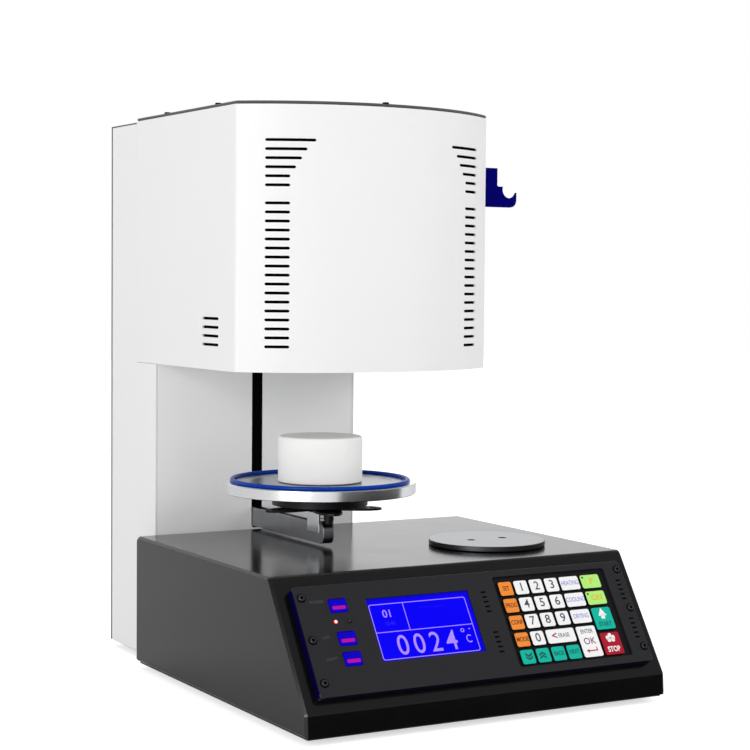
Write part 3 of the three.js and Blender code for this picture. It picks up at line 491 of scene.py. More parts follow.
def addBase():
    housing = nodeCopy("base_housing", "baseCover", cover["soft"], segments=3, angle=50)
    hand(paint(housing, blackPaint, blackAndShade), "frame", "black_paint", "base_housing")
    tray = paint(nodeCopy("base_tray", "baseTray", cover["traySoft"]), blackPaint, blackRubber)
    paintFaces(tray, 1, lambda spot, way: spot.z < cover["footTop"])
    hand(tray, "frame", "black_paint", "base_tray")


covers = [        # node, piece and finish
    # the tower's front takes the paler white, as painted light
    ("tower_cover", "towerCover", whitePaint), ("tower_front", "towerFront", paintedLitFrontWhite),
    ("hood_lid", "headLid", whitePaint),
]
coverLook = {"soft": 0.25 * mm, "lidTop": 0.97, "hoodAxis": 60 * mm, "inward": -0.2}


def addTowerAndHead():
    for node, name, white in covers:
        piece = paint(nodeCopy(node, name, coverLook["soft"]), white, gapShadeGrey)
        if node == "hood_lid":
            # painted shade: the lid's sides and rounded edges are dark grey, for the shadow gap under it
            paintFaces(piece, 1, lambda spot, way: way.z < coverLook["lidTop"])
        hand(piece, "frame", "white_paint", node)
    low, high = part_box("hood")
    axis = Vector(((low.x + high.x) / 2, high.y - coverLook["hoodAxis"], 0))
    # painted shade: the hood's inward faces are black, so its inside reads dark through the slits
    hood = paint(nodeCopy("hood", "headHood"), whitePaint, blackAndShade)

    def facesIn(spot, way):
        reach = (spot - axis).to_2d()
        return reach.dot(way.to_2d()) < coverLook["inward"] * reach.length
    paintFaces(hood, 1, facesIn)
    hand(hood, "frame", "white_paint", "hood")


seam = {        # how far from the tower's sides, rear and top, and from the head
    "out": 0.1 * mm, "in": 0.3 * mm, "rearFrom": 5 * mm, "rearTo": 2.3 * mm, "topEnd": 4 * mm,
    "topThick": 1.3 * mm, "head": 0.5 * mm, "soft": 0.05 * mm,
}


def addSeams():        # painted shade: dark grey strips along the tower's rear and top edges, for the gaps where its sheets meet
    low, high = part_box("tower_cover")
    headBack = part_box("hood")[1].y
    left, right = low.x - seam["out"], low.x + seam["in"]
    upright = block("rearSeam", (left, high.y - seam["rearFrom"], low.z),
                    (right, high.y - seam["rearTo"], high.z))
    top = block("topSeam", (left, headBack + seam["head"], high.z - seam["topThick"]),
                (right, high.y - seam["topEnd"], high.z))
    over = Matrix.Translation((high.x - low.x + seam["out"] - seam["in"], 0, 0))
    seams = merged("towerSeams", upright, top, copied(upright, over, "rearSeam"),
                   copied(top, over, "topSeam"))
    hand(paint(softened(seams, seam["soft"]), gapShadeGrey), "frame", "black_plastic")


bow = {        # the painted shade behind the slits follows the head's bowed front, between two angles in degrees on each side
    "steps": 360, "depth": 45 * mm, "in": 4.4 * mm, "thick": 0.6 * mm, "from": 20, "to": 36,
    "low": 285 * mm, "high": 465 * mm,
}
sideSlitShade = {"low": (-144 * mm, -36 * mm, 284 * mm), "high": (-143.4 * mm, 6 * mm, 316 * mm),
              "soft": 0.1 * mm}


def addScreens():        # painted shade: dark sheets behind the slits, for the shaded inside of the head
    low, high = bow["low"], bow["high"]
    hoodLow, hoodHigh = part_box("hood")
    half = (hoodHigh.x - hoodLow.x) / 2
    radius = (half ** 2 + bow["depth"] ** 2) / (2 * bow["depth"])        # the bow's own circle
    x, y = hoodLow.x + half, hoodLow.y + radius
    bpy.ops.object.select_all(action="DESELECT")
    bpy.ops.mesh.primitive_cylinder_add(vertices=bow["steps"], radius=radius - bow["in"], depth=high - low,
                                        end_fill_type="NOTHING", location=(x, y, (low + high) / 2))
    piece = settle(bpy.context.object, "frontSlitShade")

    def outside(face):
        spot = face.calc_center_median()
        turn = abs(math.degrees(math.atan2(spot.x - x, y - spot.y)))
        return not bow["from"] < turn < bow["to"]
    startEdit(piece)
    choose(piece, outside)
    bpy.ops.mesh.delete(type="FACE")
    endEdit()
    modified(piece, "SOLIDIFY", thickness=bow["thick"], offset=0)
    hand(paint(smooth(piece), blackAndShade), "frame", "black_plastic")
    side = block("sideShadeSheet", sideSlitShade["low"], sideSlitShade["high"])
    hand(paint(softened(side, sideSlitShade["soft"]), blackAndShade), "frame", "black_plastic")


belt = {
    "width": 18 * mm, "thick": 0.8 * mm, "back": 3 * mm, "low": 16 * mm, "high": 272 * mm, "soft": 0.2 * mm,
}


def addBelt():        # closes the slot round the arm and moves with it
    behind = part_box("tower_front")[1].y + belt["back"]
    low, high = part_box("lift_arm")
    x, half = (low.x + high.x) / 2, belt["width"] / 2
    piece = block("slotBelt", (x - half, behind - belt["thick"], belt["low"]),
                  (x + half, behind, belt["high"]))
    hand(paint(softened(piece, belt["soft"]), blackAndShade), "lift", "black_plastic")


addBase()
addTowerAndHead()
addSeams()
addScreens()
addBelt()
print("covers done")

# Lift

lift = {
    "steps": 144, "rimSoft": 0.7 * mm, "soft": 0.12 * mm, "groove": 0.3 * mm, "land": 61.5 * mm,
    "landDrop": 0.6 * mm, "hub": 20.4 * mm, "hubDrop": 2.6 * mm,
}


def addPlate():
    low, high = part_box("lift_plate")
    radius = (high.x - low.x) / 2
    sealLow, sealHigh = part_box("seal_ring")
    outer = (sealHigh.x - sealLow.x) / 2 + lift["groove"]
    thick = sealHigh.z - sealLow.z
    inner = outer - thick - 2 * lift["groove"]
    top = high.z
    rings = [
        (radius, low.z), (radius, top), (outer, top), (outer, top - thick / 2), (inner, top - thick / 2),
        (inner, top), (lift["land"], top), (lift["land"], top - lift["landDrop"]),
        (lift["hub"], top - lift["landDrop"]), (lift["hub"], top - lift["hubDrop"]),
    ]
    plate = turned("liftPlate", plateMiddle, rings, lift["steps"])

    def reach(spot):
        return (spot - plateMiddle).to_2d().length

    def rimEdge(edge):
        first, second = (corner.co for corner in edge.verts)
        return min(reach(first), reach(second)) > radius - near and abs(first.z - second.z) < near
    startEdit(plate)
    choose(plate, rimEdge, "EDGE")
    bpy.ops.mesh.bevel(offset=lift["rimSoft"], segments=4, affect="EDGES")
    endEdit()
    softened(plate, lift["soft"], segments=2)
    paint(smooth(plate), turnedMetal, turnedTop)
    paintFaces(plate, 1, lambda spot, way: way.z > facesWay and reach(spot) < inner)
    hand(plate, "lift", "turned_metal", "lift_plate")


seal = {"steps": 144, "round": 20, "swell": 0.15 * mm, "pressed": 0.85, "flat": 0.2}


def addSeal():
    low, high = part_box("seal_ring")
    thick = (high.z - low.z) / 2
    bpy.ops.object.select_all(action="DESELECT")
    bpy.ops.mesh.primitive_torus_add(
        major_segments=seal["steps"], minor_segments=seal["round"],
        major_radius=(high.x - low.x) / 2 - thick, minor_radius=thick + seal["swell"],
        location=(low + high) / 2 + Vector((0, 0, seal["swell"])))
    piece = settle(bpy.context.object, "plateSeal")
    startEdit(piece)
    choose(piece, lambda face: face.normal.z > seal["pressed"])        # what the head's floor presses flat
    bpy.ops.transform.resize(value=(1, 1, seal["flat"]),
                             center_override=(plateMiddle.x, plateMiddle.y, high.z))
    endEdit()
    hand(paint(smooth(piece), sealBlue), "lift", "seal", "seal_ring")


plug = {
    "steps": 128, "foot": 20 * mm, "footHigh": 1.7 * mm, "slant": 0.8 * mm, "round": 2.4 * mm,
    "soft": 0.3 * mm,
}


def addPlug():
    low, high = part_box("firing_plug")
    radius = (high.x - low.x) / 2
    shoulder = low.z + plug["footHigh"]
    rings = [(plug["foot"], low.z), (plug["foot"], shoulder), (radius - plug["slant"], shoulder),
             (radius, shoulder + plug["slant"]), (radius, high.z)]
    piece = turned("firingPlug", plateMiddle, rings, plug["steps"])
    startEdit(piece)
    choose(piece, lambda edge: min(corner.co.z for corner in edge.verts) > high.z - near, "EDGE")
    bpy.ops.mesh.bevel(offset=plug["round"], segments=6, affect="EDGES")
    endEdit()
    softened(piece, plug["soft"], segments=2)
    hand(paint(smooth(piece), fibreWhite), "lift", "fibre", "firing_plug")


carriers = [        # node, piece, softness, its segments, the angle that stays sharp, finish and slot
    ("carrier_star", "carrierStar", 0.4 * mm, 2, 50, starMetal, "dark_metal"),
    ("lift_arm", "liftArm", 0.5 * mm, 3, 50, armSteel, "steel"),
    ("arm_saddle", "armSaddle", 0.5 * mm, 3, 40, polishedSteel, "steel"),
]


def addLift():
    addPlate()
    addSeal()
    addPlug()
    for node, name, soft, segments, angle, metal, slot in carriers:
        hand(paint(nodeCopy(node, name, soft, segments, angle), metal), "lift", slot, node)


addLift()
print("lift done")

# Control panel

screw = {
    "steps": 32, "sides": 6, "radius": 2.7 * mm, "height": 1.3 * mm, "socket": 1.4 * mm, "deep": 0.9 * mm,
    "dish": 0.5 * mm, "rim": 0.1 * mm, "washer": 3.6 * mm, "thin": 0.2 * mm,
}


def cut(piece, tool):        # takes the tool's shape out of the piece
    modified(piece, "BOOLEAN", operation="DIFFERENCE", object=tool, solver="EXACT")
    bpy.data.objects.remove(tool)
    return piece


def socketScrew(name, metal):        # a round head with a hexagon socket, at the origin and pointing up
    wide, tall, narrow = screw["radius"], screw["height"], screw["socket"]
    cap = turned(name, (0, 0), [(wide, 0), (wide, tall)], screw["steps"])
    startEdit(cap)
    choose(cap, lambda face: face.normal.z > facesWay)
    bpy.ops.mesh.bevel(offset=screw["dish"], segments=3, affect="EDGES")
    endEdit()
    cut(cap, turned("tool", (0, 0), [(narrow, tall - screw["deep"]), (narrow, 2 * tall)], screw["sides"]))
    paint(smooth(cap), metal, blackAndShade)
    # painted shade: black inside the hexagon socket
    return paintFaces(cap, 1, lambda spot, way: spot.to_2d().length < narrow
                      and screw["rim"] < spot.z < tall - screw["rim"])


panel = {        # the screws' places in millimetres, across and up the slope
    "soft": 0.25 * mm, "rim": 0.4 * mm, "screws": [
        (-147.8, -22.2), (-147.8, -57), (-147.8, -91.5), (149.6, -20.6), (149.6, -55.5), (149.6, -90),
    ],
}


def addPanelPlate():
    low, high = slopeBox("control_panel")
    plate = nodeCopy("control_panel", "panelPlate", panel["soft"])
    paint(plate, panelBlack, paintedLitEdgeBlue, paintedShadeEdgeBlue)

    def rim(*sides):
        def rule(spot, way):
            place = slopeBack @ spot
            edges = {"left": place.x - low.x, "right": high.x - place.x, "under": place.y - low.y}
            return min(edges[side] for side in sides) < panel["rim"] and abs(way.dot(slopeOut)) < facesWay
        return rule
    # painted light and shade: the blue edge glows on the left side and is dark on the right and under
    paintFaces(plate, 2, rim("right", "under"))
    paintFaces(plate, 1, rim("left"))
    hand(plate, "frame", "panel_black", "control_panel")
    washer = turned("washer", (0, 0), [(screw["washer"], 0), (screw["washer"], screw["thin"])],
                    screw["steps"])
    model = merged("screwModel", paint(washer, blackAndShade), socketScrew("screwHead", greySteel))
    copies = [copied(model, Matrix.Translation((x * mm, y * mm, slope["face"])), "panelScrew")
              for x, y in panel["screws"]]
    bpy.data.objects.remove(model)
    hand(onSlope(merged("panelScrews", *copies)), "frame", "black_plastic")


def roundedFrame(low, high, corner, line, z, ink):        # a printed line round a box, its corners rounded
    (left, under), (right, over) = low, high
    outer = roundedBlock("frame", (left - line, under - line, z),
                         (right + line, over + line, z + printed), corner, 0)
    inner = roundedBlock("tool", (left + line, under + line, z - mm),
                         (right - line, over - line, z + mm), corner - line, 0)
    return paint(cut(outer, inner), ink)


display = {        # in millimetres, save the digits' squeeze and boldness
    "border": 2, "left": -92.4, "right": -5.2, "top": -32.6, "bottom": -78.2, "split": -62.1,
    "half": -55.8, "line": 0.3, "corner": 1.8, "digits": "0024", "digit": 23.4, "firstDigit": -72.2,
    "digitStep": 14.65, "digitY": -68.3, "squeeze": 0.93, "bold": 0.002,
}
displayDash = (-10.4, -59.8, -8.6, -59.2)        # left, under, right and over in millimetres
displayWords = [        # text, size and middle in millimetres, finish, and what else differs
    ("C", 9.5, -12.3, -68, screenPale, {"squeeze": 0.8, "bold": 0.004}),
    ("o", 7, -16.1, -59.8, screenPale, {}), ("01", 9, -78, -41, screenPale, {}),
    ("12:40", 4.2, -78, -49, screenFaint, {}),
    ("- - - - - - - - - - -", 3.6, -37, -38, screenFaint, {}),
]


def addDisplay():
    low, high = slopeBox("display")
    z = high.z
    piece = nodeCopy("display", "displayGlass")
    piece.data.transform(slopeBack)
    startEdit(piece)
    choose(piece, lambda face: face.calc_center_median().z > z - near)
    bpy.ops.mesh.inset(thickness=display["border"] * mm)
    endEdit()
    paint(piece, blackPlasticAndShade, screenDeep, screenBlue)
    front = [face for face in piece.data.polygons if face.center.z > z - near]
    for face in front:
        face.material_index = 1
    max(front, key=lambda face: face.area).material_index = 2
    hand(onSlope(piece), "frame", "screen", "display")
    left, right, top, bottom, split, half, line, corner = (
        display[key] * mm for key in ("left", "right", "top", "bottom", "split", "half", "line", "corner"))
    lit = [
        roundedFrame((left, bottom), (right, top), corner, line, z, screenPale),
        strip(left, half - line, right, half + line, z, screenPale),
        strip(split - line, half, split + line, top, z, screenPale),
        strip(*(value * mm for value in displayDash), z, screenPale),
    ]
    for i, digit in enumerate(display["digits"]):
        x, y = display["firstDigit"] + i * display["digitStep"], display["digitY"]
        lit.append(wording(digit, display["digit"] * mm, x * mm, y * mm, z, screenPale,
                           squeeze=display["squeeze"], bold=display["bold"]))
    for text, size, x, y, ink, changes in displayWords:
        lit.append(wording(text, size * mm, x * mm, y * mm, z, ink, **changes))
    hand(onSlope(merged("displayMarks", *lit)), "frame", "screen")


rockers = ("rocker_upper", "rocker_middle", "rocker_lower")
rockerCap = {"corner": 1.2 * mm, "soft": 0.4 * mm}
rockerBar = {
    "width": 11.4 * mm, "height": 2.8 * mm, "down": 2 * mm, "deep": 1 * mm, "proud": 0.25 * mm,
    "corner": 0.8 * mm, "soft": 0.15 * mm,
}
bezel = {"line": 0.225 * mm, "gap": 0.35 * mm, "half": 5.65 * mm, "corner": 1.5 * mm}


def addRocker(name):
    low, high = slopeBox(name)
    x, y = (low.x + high.x) / 2, (low.y + high.y) / 2
    cap = nodeCopy(name, name.replace("rocker_", "rockerCap_"))
    cap.data.transform(slopeBack)
    startEdit(cap)
    choose(cap, lambda edge: runsUp(edge, facesWay), "EDGE")        # the cap's edges lean a little
    bpy.ops.mesh.bevel(offset=rockerCap["corner"], segments=4, affect="EDGES")
    endEdit()
    onSlope(softened(cap, rockerCap["soft"]))
    paint(cap, rockerBlue)
    above = slopeTurn @ Vector((x, y - rockerBar["down"], high.z + clear))
    place, way = cap.ray_cast(above, -slopeOut)[1:3]        # where the bar stands on the cap
    tilt = slopeBack.to_3x3() @ way
    lean = Matrix.Rotation(math.atan2(-tilt.y, tilt.z), 4, "X")
    wide, tall = rockerBar["width"] / 2, rockerBar["height"] / 2
    bar = roundedBlock("bar", (-wide, -tall, -rockerBar["deep"]), (wide, tall, rockerBar["proud"]),
                       rockerBar["corner"], rockerBar["soft"])
    bar.data.transform(Matrix.Translation(slopeBack @ place) @ lean)
    onSlope(paint(bar, rockerLit))
    whole = merged(name + "_lit", smooth(cap), bar)
    hand(whole, name, "rocker", name)


def addBezels():        # a thin lit frame round each rocker
    rims = []
    for name in rockers:
        low, high = slopeBox(name)
        across = (high.x - low.x) / 2 + bezel["gap"] + bezel["line"]
        up = bezel["half"] + bezel["line"]
        x, y = (low.x + high.x) / 2, (low.y + high.y) / 2
        rims.append(roundedFrame((x - across, y - up), (x + across, y + up), bezel["corner"],
                                 bezel["line"], slope["face"], bezelBlue))
    hand(onSlope(merged("rockerBezels", *rims)), "frame", "rocker")


lamp = {
    "steps": 24, "rings": 12, "radius": 1.6 * mm, "y": -44.1 * mm, "foot": 7.9 * mm, "flat": 0.7,
    "core": 0.8,
}
lamps = {"lampLit": (-124.9 * mm, [lampRed, lampCore]), "lampDark": (-112.4 * mm, [lampDark])}


def addLamps():
    for name, (x, looks) in lamps.items():
        middle = (x, lamp["y"], lamp["foot"])
        bpy.ops.object.select_all(action="DESELECT")
        bpy.ops.mesh.primitive_uv_sphere_add(segments=lamp["steps"], ring_count=lamp["rings"],
                                             radius=lamp["radius"], location=middle)
        piece = settle(bpy.context.object, name)
        startEdit(piece)
        bpy.ops.mesh.select_all(action="SELECT")
        bpy.ops.mesh.bisect(plane_co=middle, plane_no=(0, 0, 1), clear_inner=True, use_fill=True)
        bpy.ops.mesh.select_all(action="SELECT")
        bpy.ops.transform.resize(value=(1, 1, lamp["flat"]), center_override=middle)
        endEdit()
        paint(smooth(piece), *looks)
        if len(looks) > 1:
            paintFaces(piece, 1, lambda spot, way: way.z > lamp["core"])
        hand(onSlope(piece), "frame", "rocker")


keyShape = {"corner": 1.7 * mm, "edge": 0.45 * mm, "sharp": 50, "sideway": 0.1}
keyLegends = {        # text, cap and ink of each key
    "key_menu_1": ("SET", keyOrange, inkBrown), "key_menu_2": ("PROG", keyOrange, inkBrown),
    "key_menu_3": ("CONF", keyOrange, inkBrown), "key_menu_4": ("MODE", keyOrange, inkBrown),
    "key_erase": ("", keyWhite, inkRed), "key_enter": ("", keyWhite, inkRed),
    "key_mode_1": ("HEATING", keyWhite, inkViolet), "key_mode_2": ("COOLING", keyWhite, inkViolet),
    "key_mode_3": ("DRYING", keyWhite, inkViolet),
    "key_program_1": ("P", keyGreen, inkYellow), "key_program_2": ("ON", keyGreen, inkYellow),
    "key_down": ("", keyTeal, inkDeep), "key_up": ("", keyTeal, inkDeep),
    "key_back": ("BACK", keyTeal, inkDeep), "key_next": ("NEXT", keyTeal, inkDeep),
    "key_start": ("START", keyTeal, inkDeep), "key_stop": ("STOP", keyRed, inkWhite),
}
keyLegends.update({"key_digit_%d" % n: (str(n), keyWhite, inkGrey) for n in range(10)})
keySlots = {
    keyWhite: "key_white", keyOrange: "key_orange", keyGreen: "key_green", keyTeal: "key_teal",
    keyRed: "key_red",
}
keyWords = {        # size and place from the key's middle in millimetres; None is the key's own text or ink
    "key_digit": [(None, 10.4, 0, 0, None, {})],
    "key_menu": [(None, 5.4, 0, 0, None, {"squeeze": 0.74, "bold": 0.02})],
    "key_mode": [(None, 5.6, 0, 0, None, {"squeeze": 0.72})],
    "key_program": [(None, 7, 0.5, 0, None, {"bold": 0.02}), (".", 14, -7.2, 7.2, inkDeep, {})],
    "key_erase": [("<", 9, -6.4, 0, None, {"bold": 0.02}), ("ERASE", 5, 2.6, 0, inkPale, {"squeeze": 0.8})],
    "key_enter": [("ENTER", 5, 0, 8.6, inkGrey, {"squeeze": 0.8}), ("OK", 8, 0, 0, inkPlum, {})],
    "key_down": [("\u00ab", 13, 0, 0, None, {"turn": 90, "bold": 0.02})],
    "key_up": [("\u00ab", 13, 0, 0, None, {"turn": -90, "bold": 0.02})],
    "key_back": [(None, 5, 0, 0, None, {"squeeze": 0.75, "bold": 0.02})],
    "key_next": [(None, 5, 0, 0, None, {"squeeze": 0.75, "bold": 0.02})],
    "key_start": [(None, 5.4, 0, -5.2, None, {"squeeze": 0.8, "bold": 0.02})],
    "key_stop": [(None, 6.4, 0, -5.2, None, {"squeeze": 0.8, "bold": 0.025})],
}
enterSign = {"bars": [(-3.5, -8.6, 5, -7.6), (4, -7.6, 5, -5.4)], "arrow": (-4.2, -8.1), "size": 1.9}
startSign = {"up": 4.6, "size": 4.6, "stem": 0.8}
petal = {        # the stop key's sign is a few of these
    "width": 3.4, "height": 3.6, "deep": 0.1, "corner": 1.2, "soft": 0.02,
    "places": [(-4.4, 3.2), (-1.7, 5.1), (1, 3.2), (-3.6, 1.2), (0.2, 1.2)],
}


def addPetal(x, y, z, ink):
    wide, tall, deep = petal["width"] * mm, petal["height"] * mm, petal["deep"] * mm
    piece = roundedBlock("petal", (x, y, z - deep), (x + wide, y + tall, z + deep),
                         petal["corner"] * mm, petal["soft"] * mm)
    return paint(piece, ink)


def keyMarks(name, x, y, z, text, ink):
    words = next(keyWords[kind] for kind in keyWords if name.startswith(kind))
    marks = [wording(own or text, size * mm, x + right * mm, y + up * mm, z, colour or ink, **changes)
             for own, size, right, up, colour, changes in words]
    if name == "key_enter":
        marks += [strip(x + left * mm, y + under * mm, x + right * mm, y + over * mm, z, ink)
                  for left, under, right, over in enterSign["bars"]]
        right, up = enterSign["arrow"]
        marks.append(arrow(x + right * mm, y + up * mm, z, enterSign["size"] * mm, ink, turn=90))
    if name == "key_start":
        marks.append(arrow(x, y + startSign["up"] * mm, z, startSign["size"] * mm, inkWhite,
                           stem=startSign["stem"]))
    if name == "key_stop":
        marks += [addPetal(x + right * mm, y + up * mm, z, ink) for right, up in petal["places"]]
    return marks


def addKey(name, legend):
    text, cap, ink = legend
    low, high = slopeBox(name)
    piece = roundedBlock(name + "_cap", low, high, keyShape["corner"], keyShape["edge"])
    paint(smooth(piece, keyShape["sharp"]), cap, blackPlasticAndShade)
    # painted shade: the keys' sides are black, for the shaded gaps between them
    paintFaces(piece, 1, lambda spot, way: abs(way.z) < keyShape["sideway"])
    marks = keyMarks(name, (low.x + high.x) / 2, (low.y + high.y) / 2, high.z, text, ink)
    hand(onSlope(merged(name + "_cap", piece, *marks)), name + "_body", keySlots[cap], name)


labels = {
    "size": 3.4 * mm, "x": -136 * mm, "y": {"POWER": -26.5 * mm, "LIFT": -55.8 * mm, "LIGHT": -73.2 * mm},
}


def addPanel():
    addPanelPlate()
    addDisplay()
    for name in rockers:
        addRocker(name)
    addBezels()
    addLamps()
    words = [wording(text, labels["size"], labels["x"], y, slope["face"], inkFaint, bold=0)
             for text, y in labels["y"].items()]
    hand(onSlope(merged("panelLabels", *words)), "frame", "panel_black")
    for name, legend in keyLegends.items():
        addKey(name, legend)


addPanel()
print("panel done")

# Cooling plate, hook and rear fittings

cooling = {
    "steps": 128, "soft": 0.8 * mm, "sideway": 0.8, "holeSteps": 32, "hole": 3.6 * mm, "spread": 16 * mm,
    "deep": 2 * mm, "rim": 0.5 * mm,
}


def addCoolingPlate():
    low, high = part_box("cooling_plate")
    radius = (high.x - low.x) / 2
    plate = turned("coolingPlate", coolerMiddle, [(radius, low.z), (radius, high.z)], cooling["steps"])
    softened(plate, cooling["soft"])
    holes = [coolerMiddle + Vector((side * cooling["spread"], 0, 0)) for side in (-1, 1)]
    for hole in holes:
        rings = [(cooling["hole"], high.z - cooling["deep"]), (cooling["hole"], high.z + clear)]
        cut(plate, turned("tool", hole, rings, cooling["holeSteps"]))
    paint(smooth(plate), coolerMetal, blackAndShade, coolerSideShade)
    # painted shade: the plate's side and lower chamfer are darker than its top
    paintFaces(plate, 2, lambda spot, way: way.z < cooling["sideway"])

    # painted shade: black inside the two holes
    def inHole(spot, way):
        away = min((spot.xy - hole.xy).length for hole in holes)
        return away < cooling["hole"] and spot.z < high.z - cooling["rim"]
    paintFaces(plate, 1, inHole)
    hand(plate, "frame", "turned_metal", "cooling_plate")


hookSoft = 0.4 * mm


def addHook():
    hook = paint(nodeCopy("tong_hook", "tongHook", hookSoft, segments=3), hookNavy)
    hand(hook, "frame", "hook_navy", "tong_hook")


lidScrews = [(-144.3, 84), (-144.3, -20.5), (-33, -102.7), (88.5, 84), (88.5, -20.5)]        # x and y in mm
rearScrews = [(x, z) for x in (-140, 44) for z in (60, 190, 330, 460)]        # x and z in mm


def addScrews():
    model = socketScrew("screwModel", blackAndShade)
    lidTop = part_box("hood_lid")[1].z
    tops = [copied(model, Matrix.Translation((x * mm, y * mm, lidTop)), "lidScrew")
            for x, y in lidScrews]
    hand(merged("lidScrews", *tops), "frame", "black_plastic")
    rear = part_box("tower_cover")[1].y
    facing = Matrix.Rotation(math.radians(-90), 4, "X")
    backs = [copied(model, Matrix.Translation((x * mm, rear, z * mm)) @ facing, "rearScrew")
             for x, z in rearScrews]
    hand(merged("rearScrews", *backs), "frame", "black_plastic")
    bpy.data.objects.remove(model)


inlet = {
    "soft": 0.2 * mm, "pinsWide": 8.3 * mm, "pinsHigh": 5 * mm, "pinsFrom": 14.3 * mm, "pinsTo": 5 * mm,
}
nozzleSoft = 0.15 * mm


def addRear():
    piece = paint(nodeCopy("mains_inlet", "mainsInlet", inlet["soft"]), blackPlasticAndShade, brass)
    low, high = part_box("mains_inlet")
    centre = (low + high) / 2

    def onPin(spot, way):
        away, deep = spot - centre, high.y - spot.y
        return (abs(away.x) < inlet["pinsWide"] and abs(away.z) < inlet["pinsHigh"]
                and inlet["pinsTo"] < deep < inlet["pinsFrom"] and abs(way.y) < facesWay)
    paintFaces(piece, 1, onPin)
    hand(piece, "frame", "black_plastic", "mains_inlet")
    nozzle = paint(nodeCopy("vacuum_nozzle", "vacuumNozzle", nozzleSoft, angle=50), castAlloy)
    hand(nozzle, "frame", "turned_metal", "vacuum_nozzle")


addCoolingPlate()
addHook()
addScrews()
addRear()
print("fittings done")

# Pieces inside, which keep their CAD shape

insideFinishes = {
    "keypad_frame": blackPlasticAndShade, "control_board": boardGreen, "power_unit": castAlloy,
    "lift_frame": brushedSteel, "lead_screw": brushedSteel, "lift_motor": blackSteel,
    "lift_carriage": castAlloy, "head_floor": floorAlloy, "chamber_casing": brushedSteel,
    "muffle": muffleWhite, "heater_winding": windingMetal, "thermocouple": fibreWhite,
}
for node, material in insideFinishes.items():
    paint(frame["nodes"][node], material)
print("inside finished")

# Studio

studio = {
    "floor": 12, "floorDrop": 0.5 * mm, "floorGlow": 0.62, "world": 0.62, "backdrop": 1.0, "mirror": 0.25,
    "aim": (0, 0, 0.25), "flag": (1.1, -1.64, 1 * mm), "flagSize": (2.6, 2.8, 1),
    "cards": [        # soft pale fields that only reflections see: where, how narrow, how bright
        {"turn": -150, "rise": 0, "narrow": 6, "level": 0.85},
        {"turn": 0, "rise": 0, "narrow": 2, "level": 0.75},
        {"turn": 100, "rise": 0, "narrow": 3, "level": 0.1},
        {"turn": 32, "rise": 8, "narrow": 14, "level": 0.32},
    ],
    "lights": [
        {"name": "leftLight", "place": (-2.65, -1.65, 0.7), "size": 1.8, "power": 41.5, "mirrored": True},
        {"name": "frontLight", "place": (1.5, -2.6, 0.9), "size": 1.6, "power": 7.5, "mirrored": False},
        {"name": "rightLight", "place": (2.4, -1.2, 1.4), "size": 1.4, "power": 19, "mirrored": False},
    ],
}


def addFloor():
    bpy.ops.object.select_all(action="DESELECT")
    bpy.ops.mesh.primitive_plane_add(size=studio["floor"], location=(0, 0, -studio["floorDrop"]))
    floor = bpy.context.object
    floor.name = "studioFloor"
    material = finish("floorWhite", "#f4f4f4", 0.9, {"Specular IOR Level": 0})
    nodes = material.node_tree.nodes
    link = material.node_tree.links.new
    rays = nodes.new("ShaderNodeLightPath")
    glowing = nodes.new("ShaderNodeEmission")
    add = nodes.new("ShaderNodeAddShader")
    level = nodes.new("ShaderNodeMath")
    level.operation = "MULTIPLY"
    level.inputs[1].default_value = studio["floorGlow"]
    link(rays.outputs["Is Camera Ray"], level.inputs[0])
    link(level.outputs["Value"], glowing.inputs["Strength"])
    link(nodes["Principled BSDF"].outputs["BSDF"], add.inputs[0])
    link(glowing.outputs["Emission"], add.inputs[1])
    link(add.outputs["Shader"], nodes["Material Output"].inputs["Surface"])
    paint(floor, material)


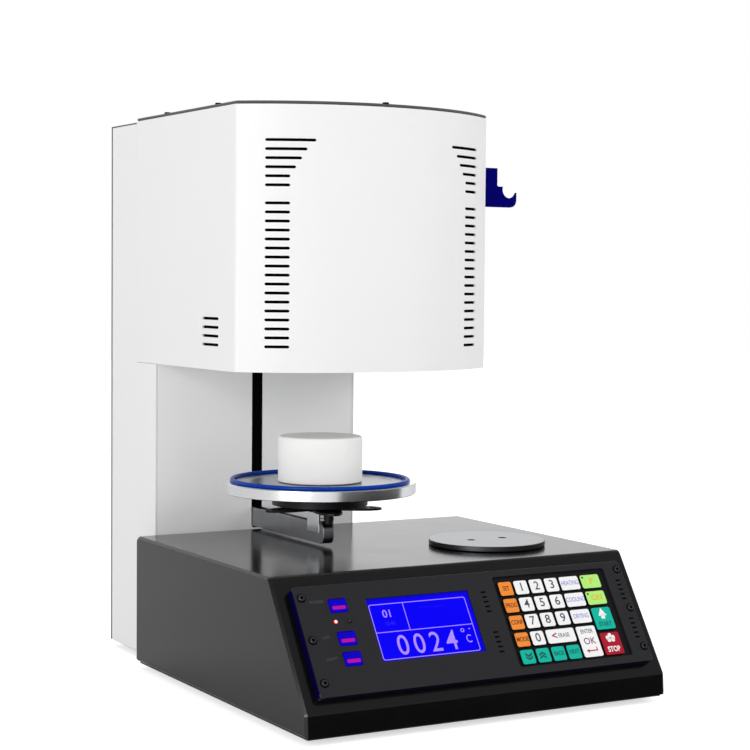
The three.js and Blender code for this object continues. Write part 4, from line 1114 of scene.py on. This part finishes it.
def addWorld():        # even light, with paler and darker sides for metal to mirror
    world = bpy.data.worlds.new("studio")
    bpy.context.scene.world = world
    world.use_nodes = True
    nodes = world.node_tree.nodes
    link = world.node_tree.links.new

    def reckon(kind, first, second=0):
        node = nodes.new("ShaderNodeMath")
        node.operation = kind
        for socket, value in zip(node.inputs, (first, second)):
            if isinstance(value, bpy.types.NodeSocket):
                link(value, socket)
            else:
                socket.default_value = value
        return node.outputs["Value"]
    way = nodes.new("ShaderNodeTexCoord")
    mirror = studio["mirror"]
    for card in studio["cards"]:
        facing = nodes.new("ShaderNodeVectorMath")
        facing.operation = "DOT_PRODUCT"
        link(way.outputs["Generated"], facing.inputs[0])
        turn, rise = math.radians(card["turn"]), math.radians(card["rise"])
        level = math.cos(rise)
        facing.inputs[1].default_value = (math.sin(turn) * level, math.cos(turn) * level, math.sin(rise))
        share = reckon("POWER", reckon("MAXIMUM", facing.outputs["Value"], 0), card["narrow"])
        mirror = reckon("ADD", reckon("MULTIPLY", share, card["level"]), mirror)
    rays = nodes.new("ShaderNodeLightPath")
    seen = reckon("MAXIMUM", rays.outputs["Is Camera Ray"], rays.outputs["Is Transmission Ray"])
    glossy = rays.outputs["Is Glossy Ray"]
    plain = reckon("SUBTRACT", 1, reckon("MAXIMUM", seen, glossy))
    parts = [reckon("MULTIPLY", seen, studio["backdrop"]), reckon("MULTIPLY", glossy, mirror),
             reckon("MULTIPLY", plain, studio["world"])]
    total = reckon("ADD", reckon("ADD", parts[0], parts[1]), parts[2])
    link(total, nodes["Background"].inputs["Strength"])
    nodes["Background"].inputs["Color"].default_value = (1, 1, 1, 1)


def addLights():
    for light in studio["lights"]:
        bpy.ops.object.light_add(type="AREA", location=light["place"])
        source = bpy.context.object
        source.name = light["name"]
        source.data.size = light["size"]
        source.data.energy = light["power"]
        source.visible_glossy = light["mirrored"]
        aim = Vector(studio["aim"]) - Vector(light["place"])
        source.rotation_euler = aim.to_track_quat("-Z", "Y").to_euler()


def addFlag():        # a dark field on the floor that only reflections see, which keeps the base's front dark
    bpy.ops.object.select_all(action="DESELECT")
    bpy.ops.mesh.primitive_plane_add(size=1, location=studio["flag"])
    flag = bpy.context.object
    flag.name = "studioFlag"
    flag.scale = studio["flagSize"]
    settle(flag)
    flag.visible_camera = False
    flag.visible_diffuse = False
    flag.visible_shadow = False
    flag.visible_transmission = False
    paint(flag, blackAndShade)


addFloor()
addFlag()
addWorld()
addLights()
bpy.context.scene.view_settings.view_transform = "Standard"
print("studio lit")
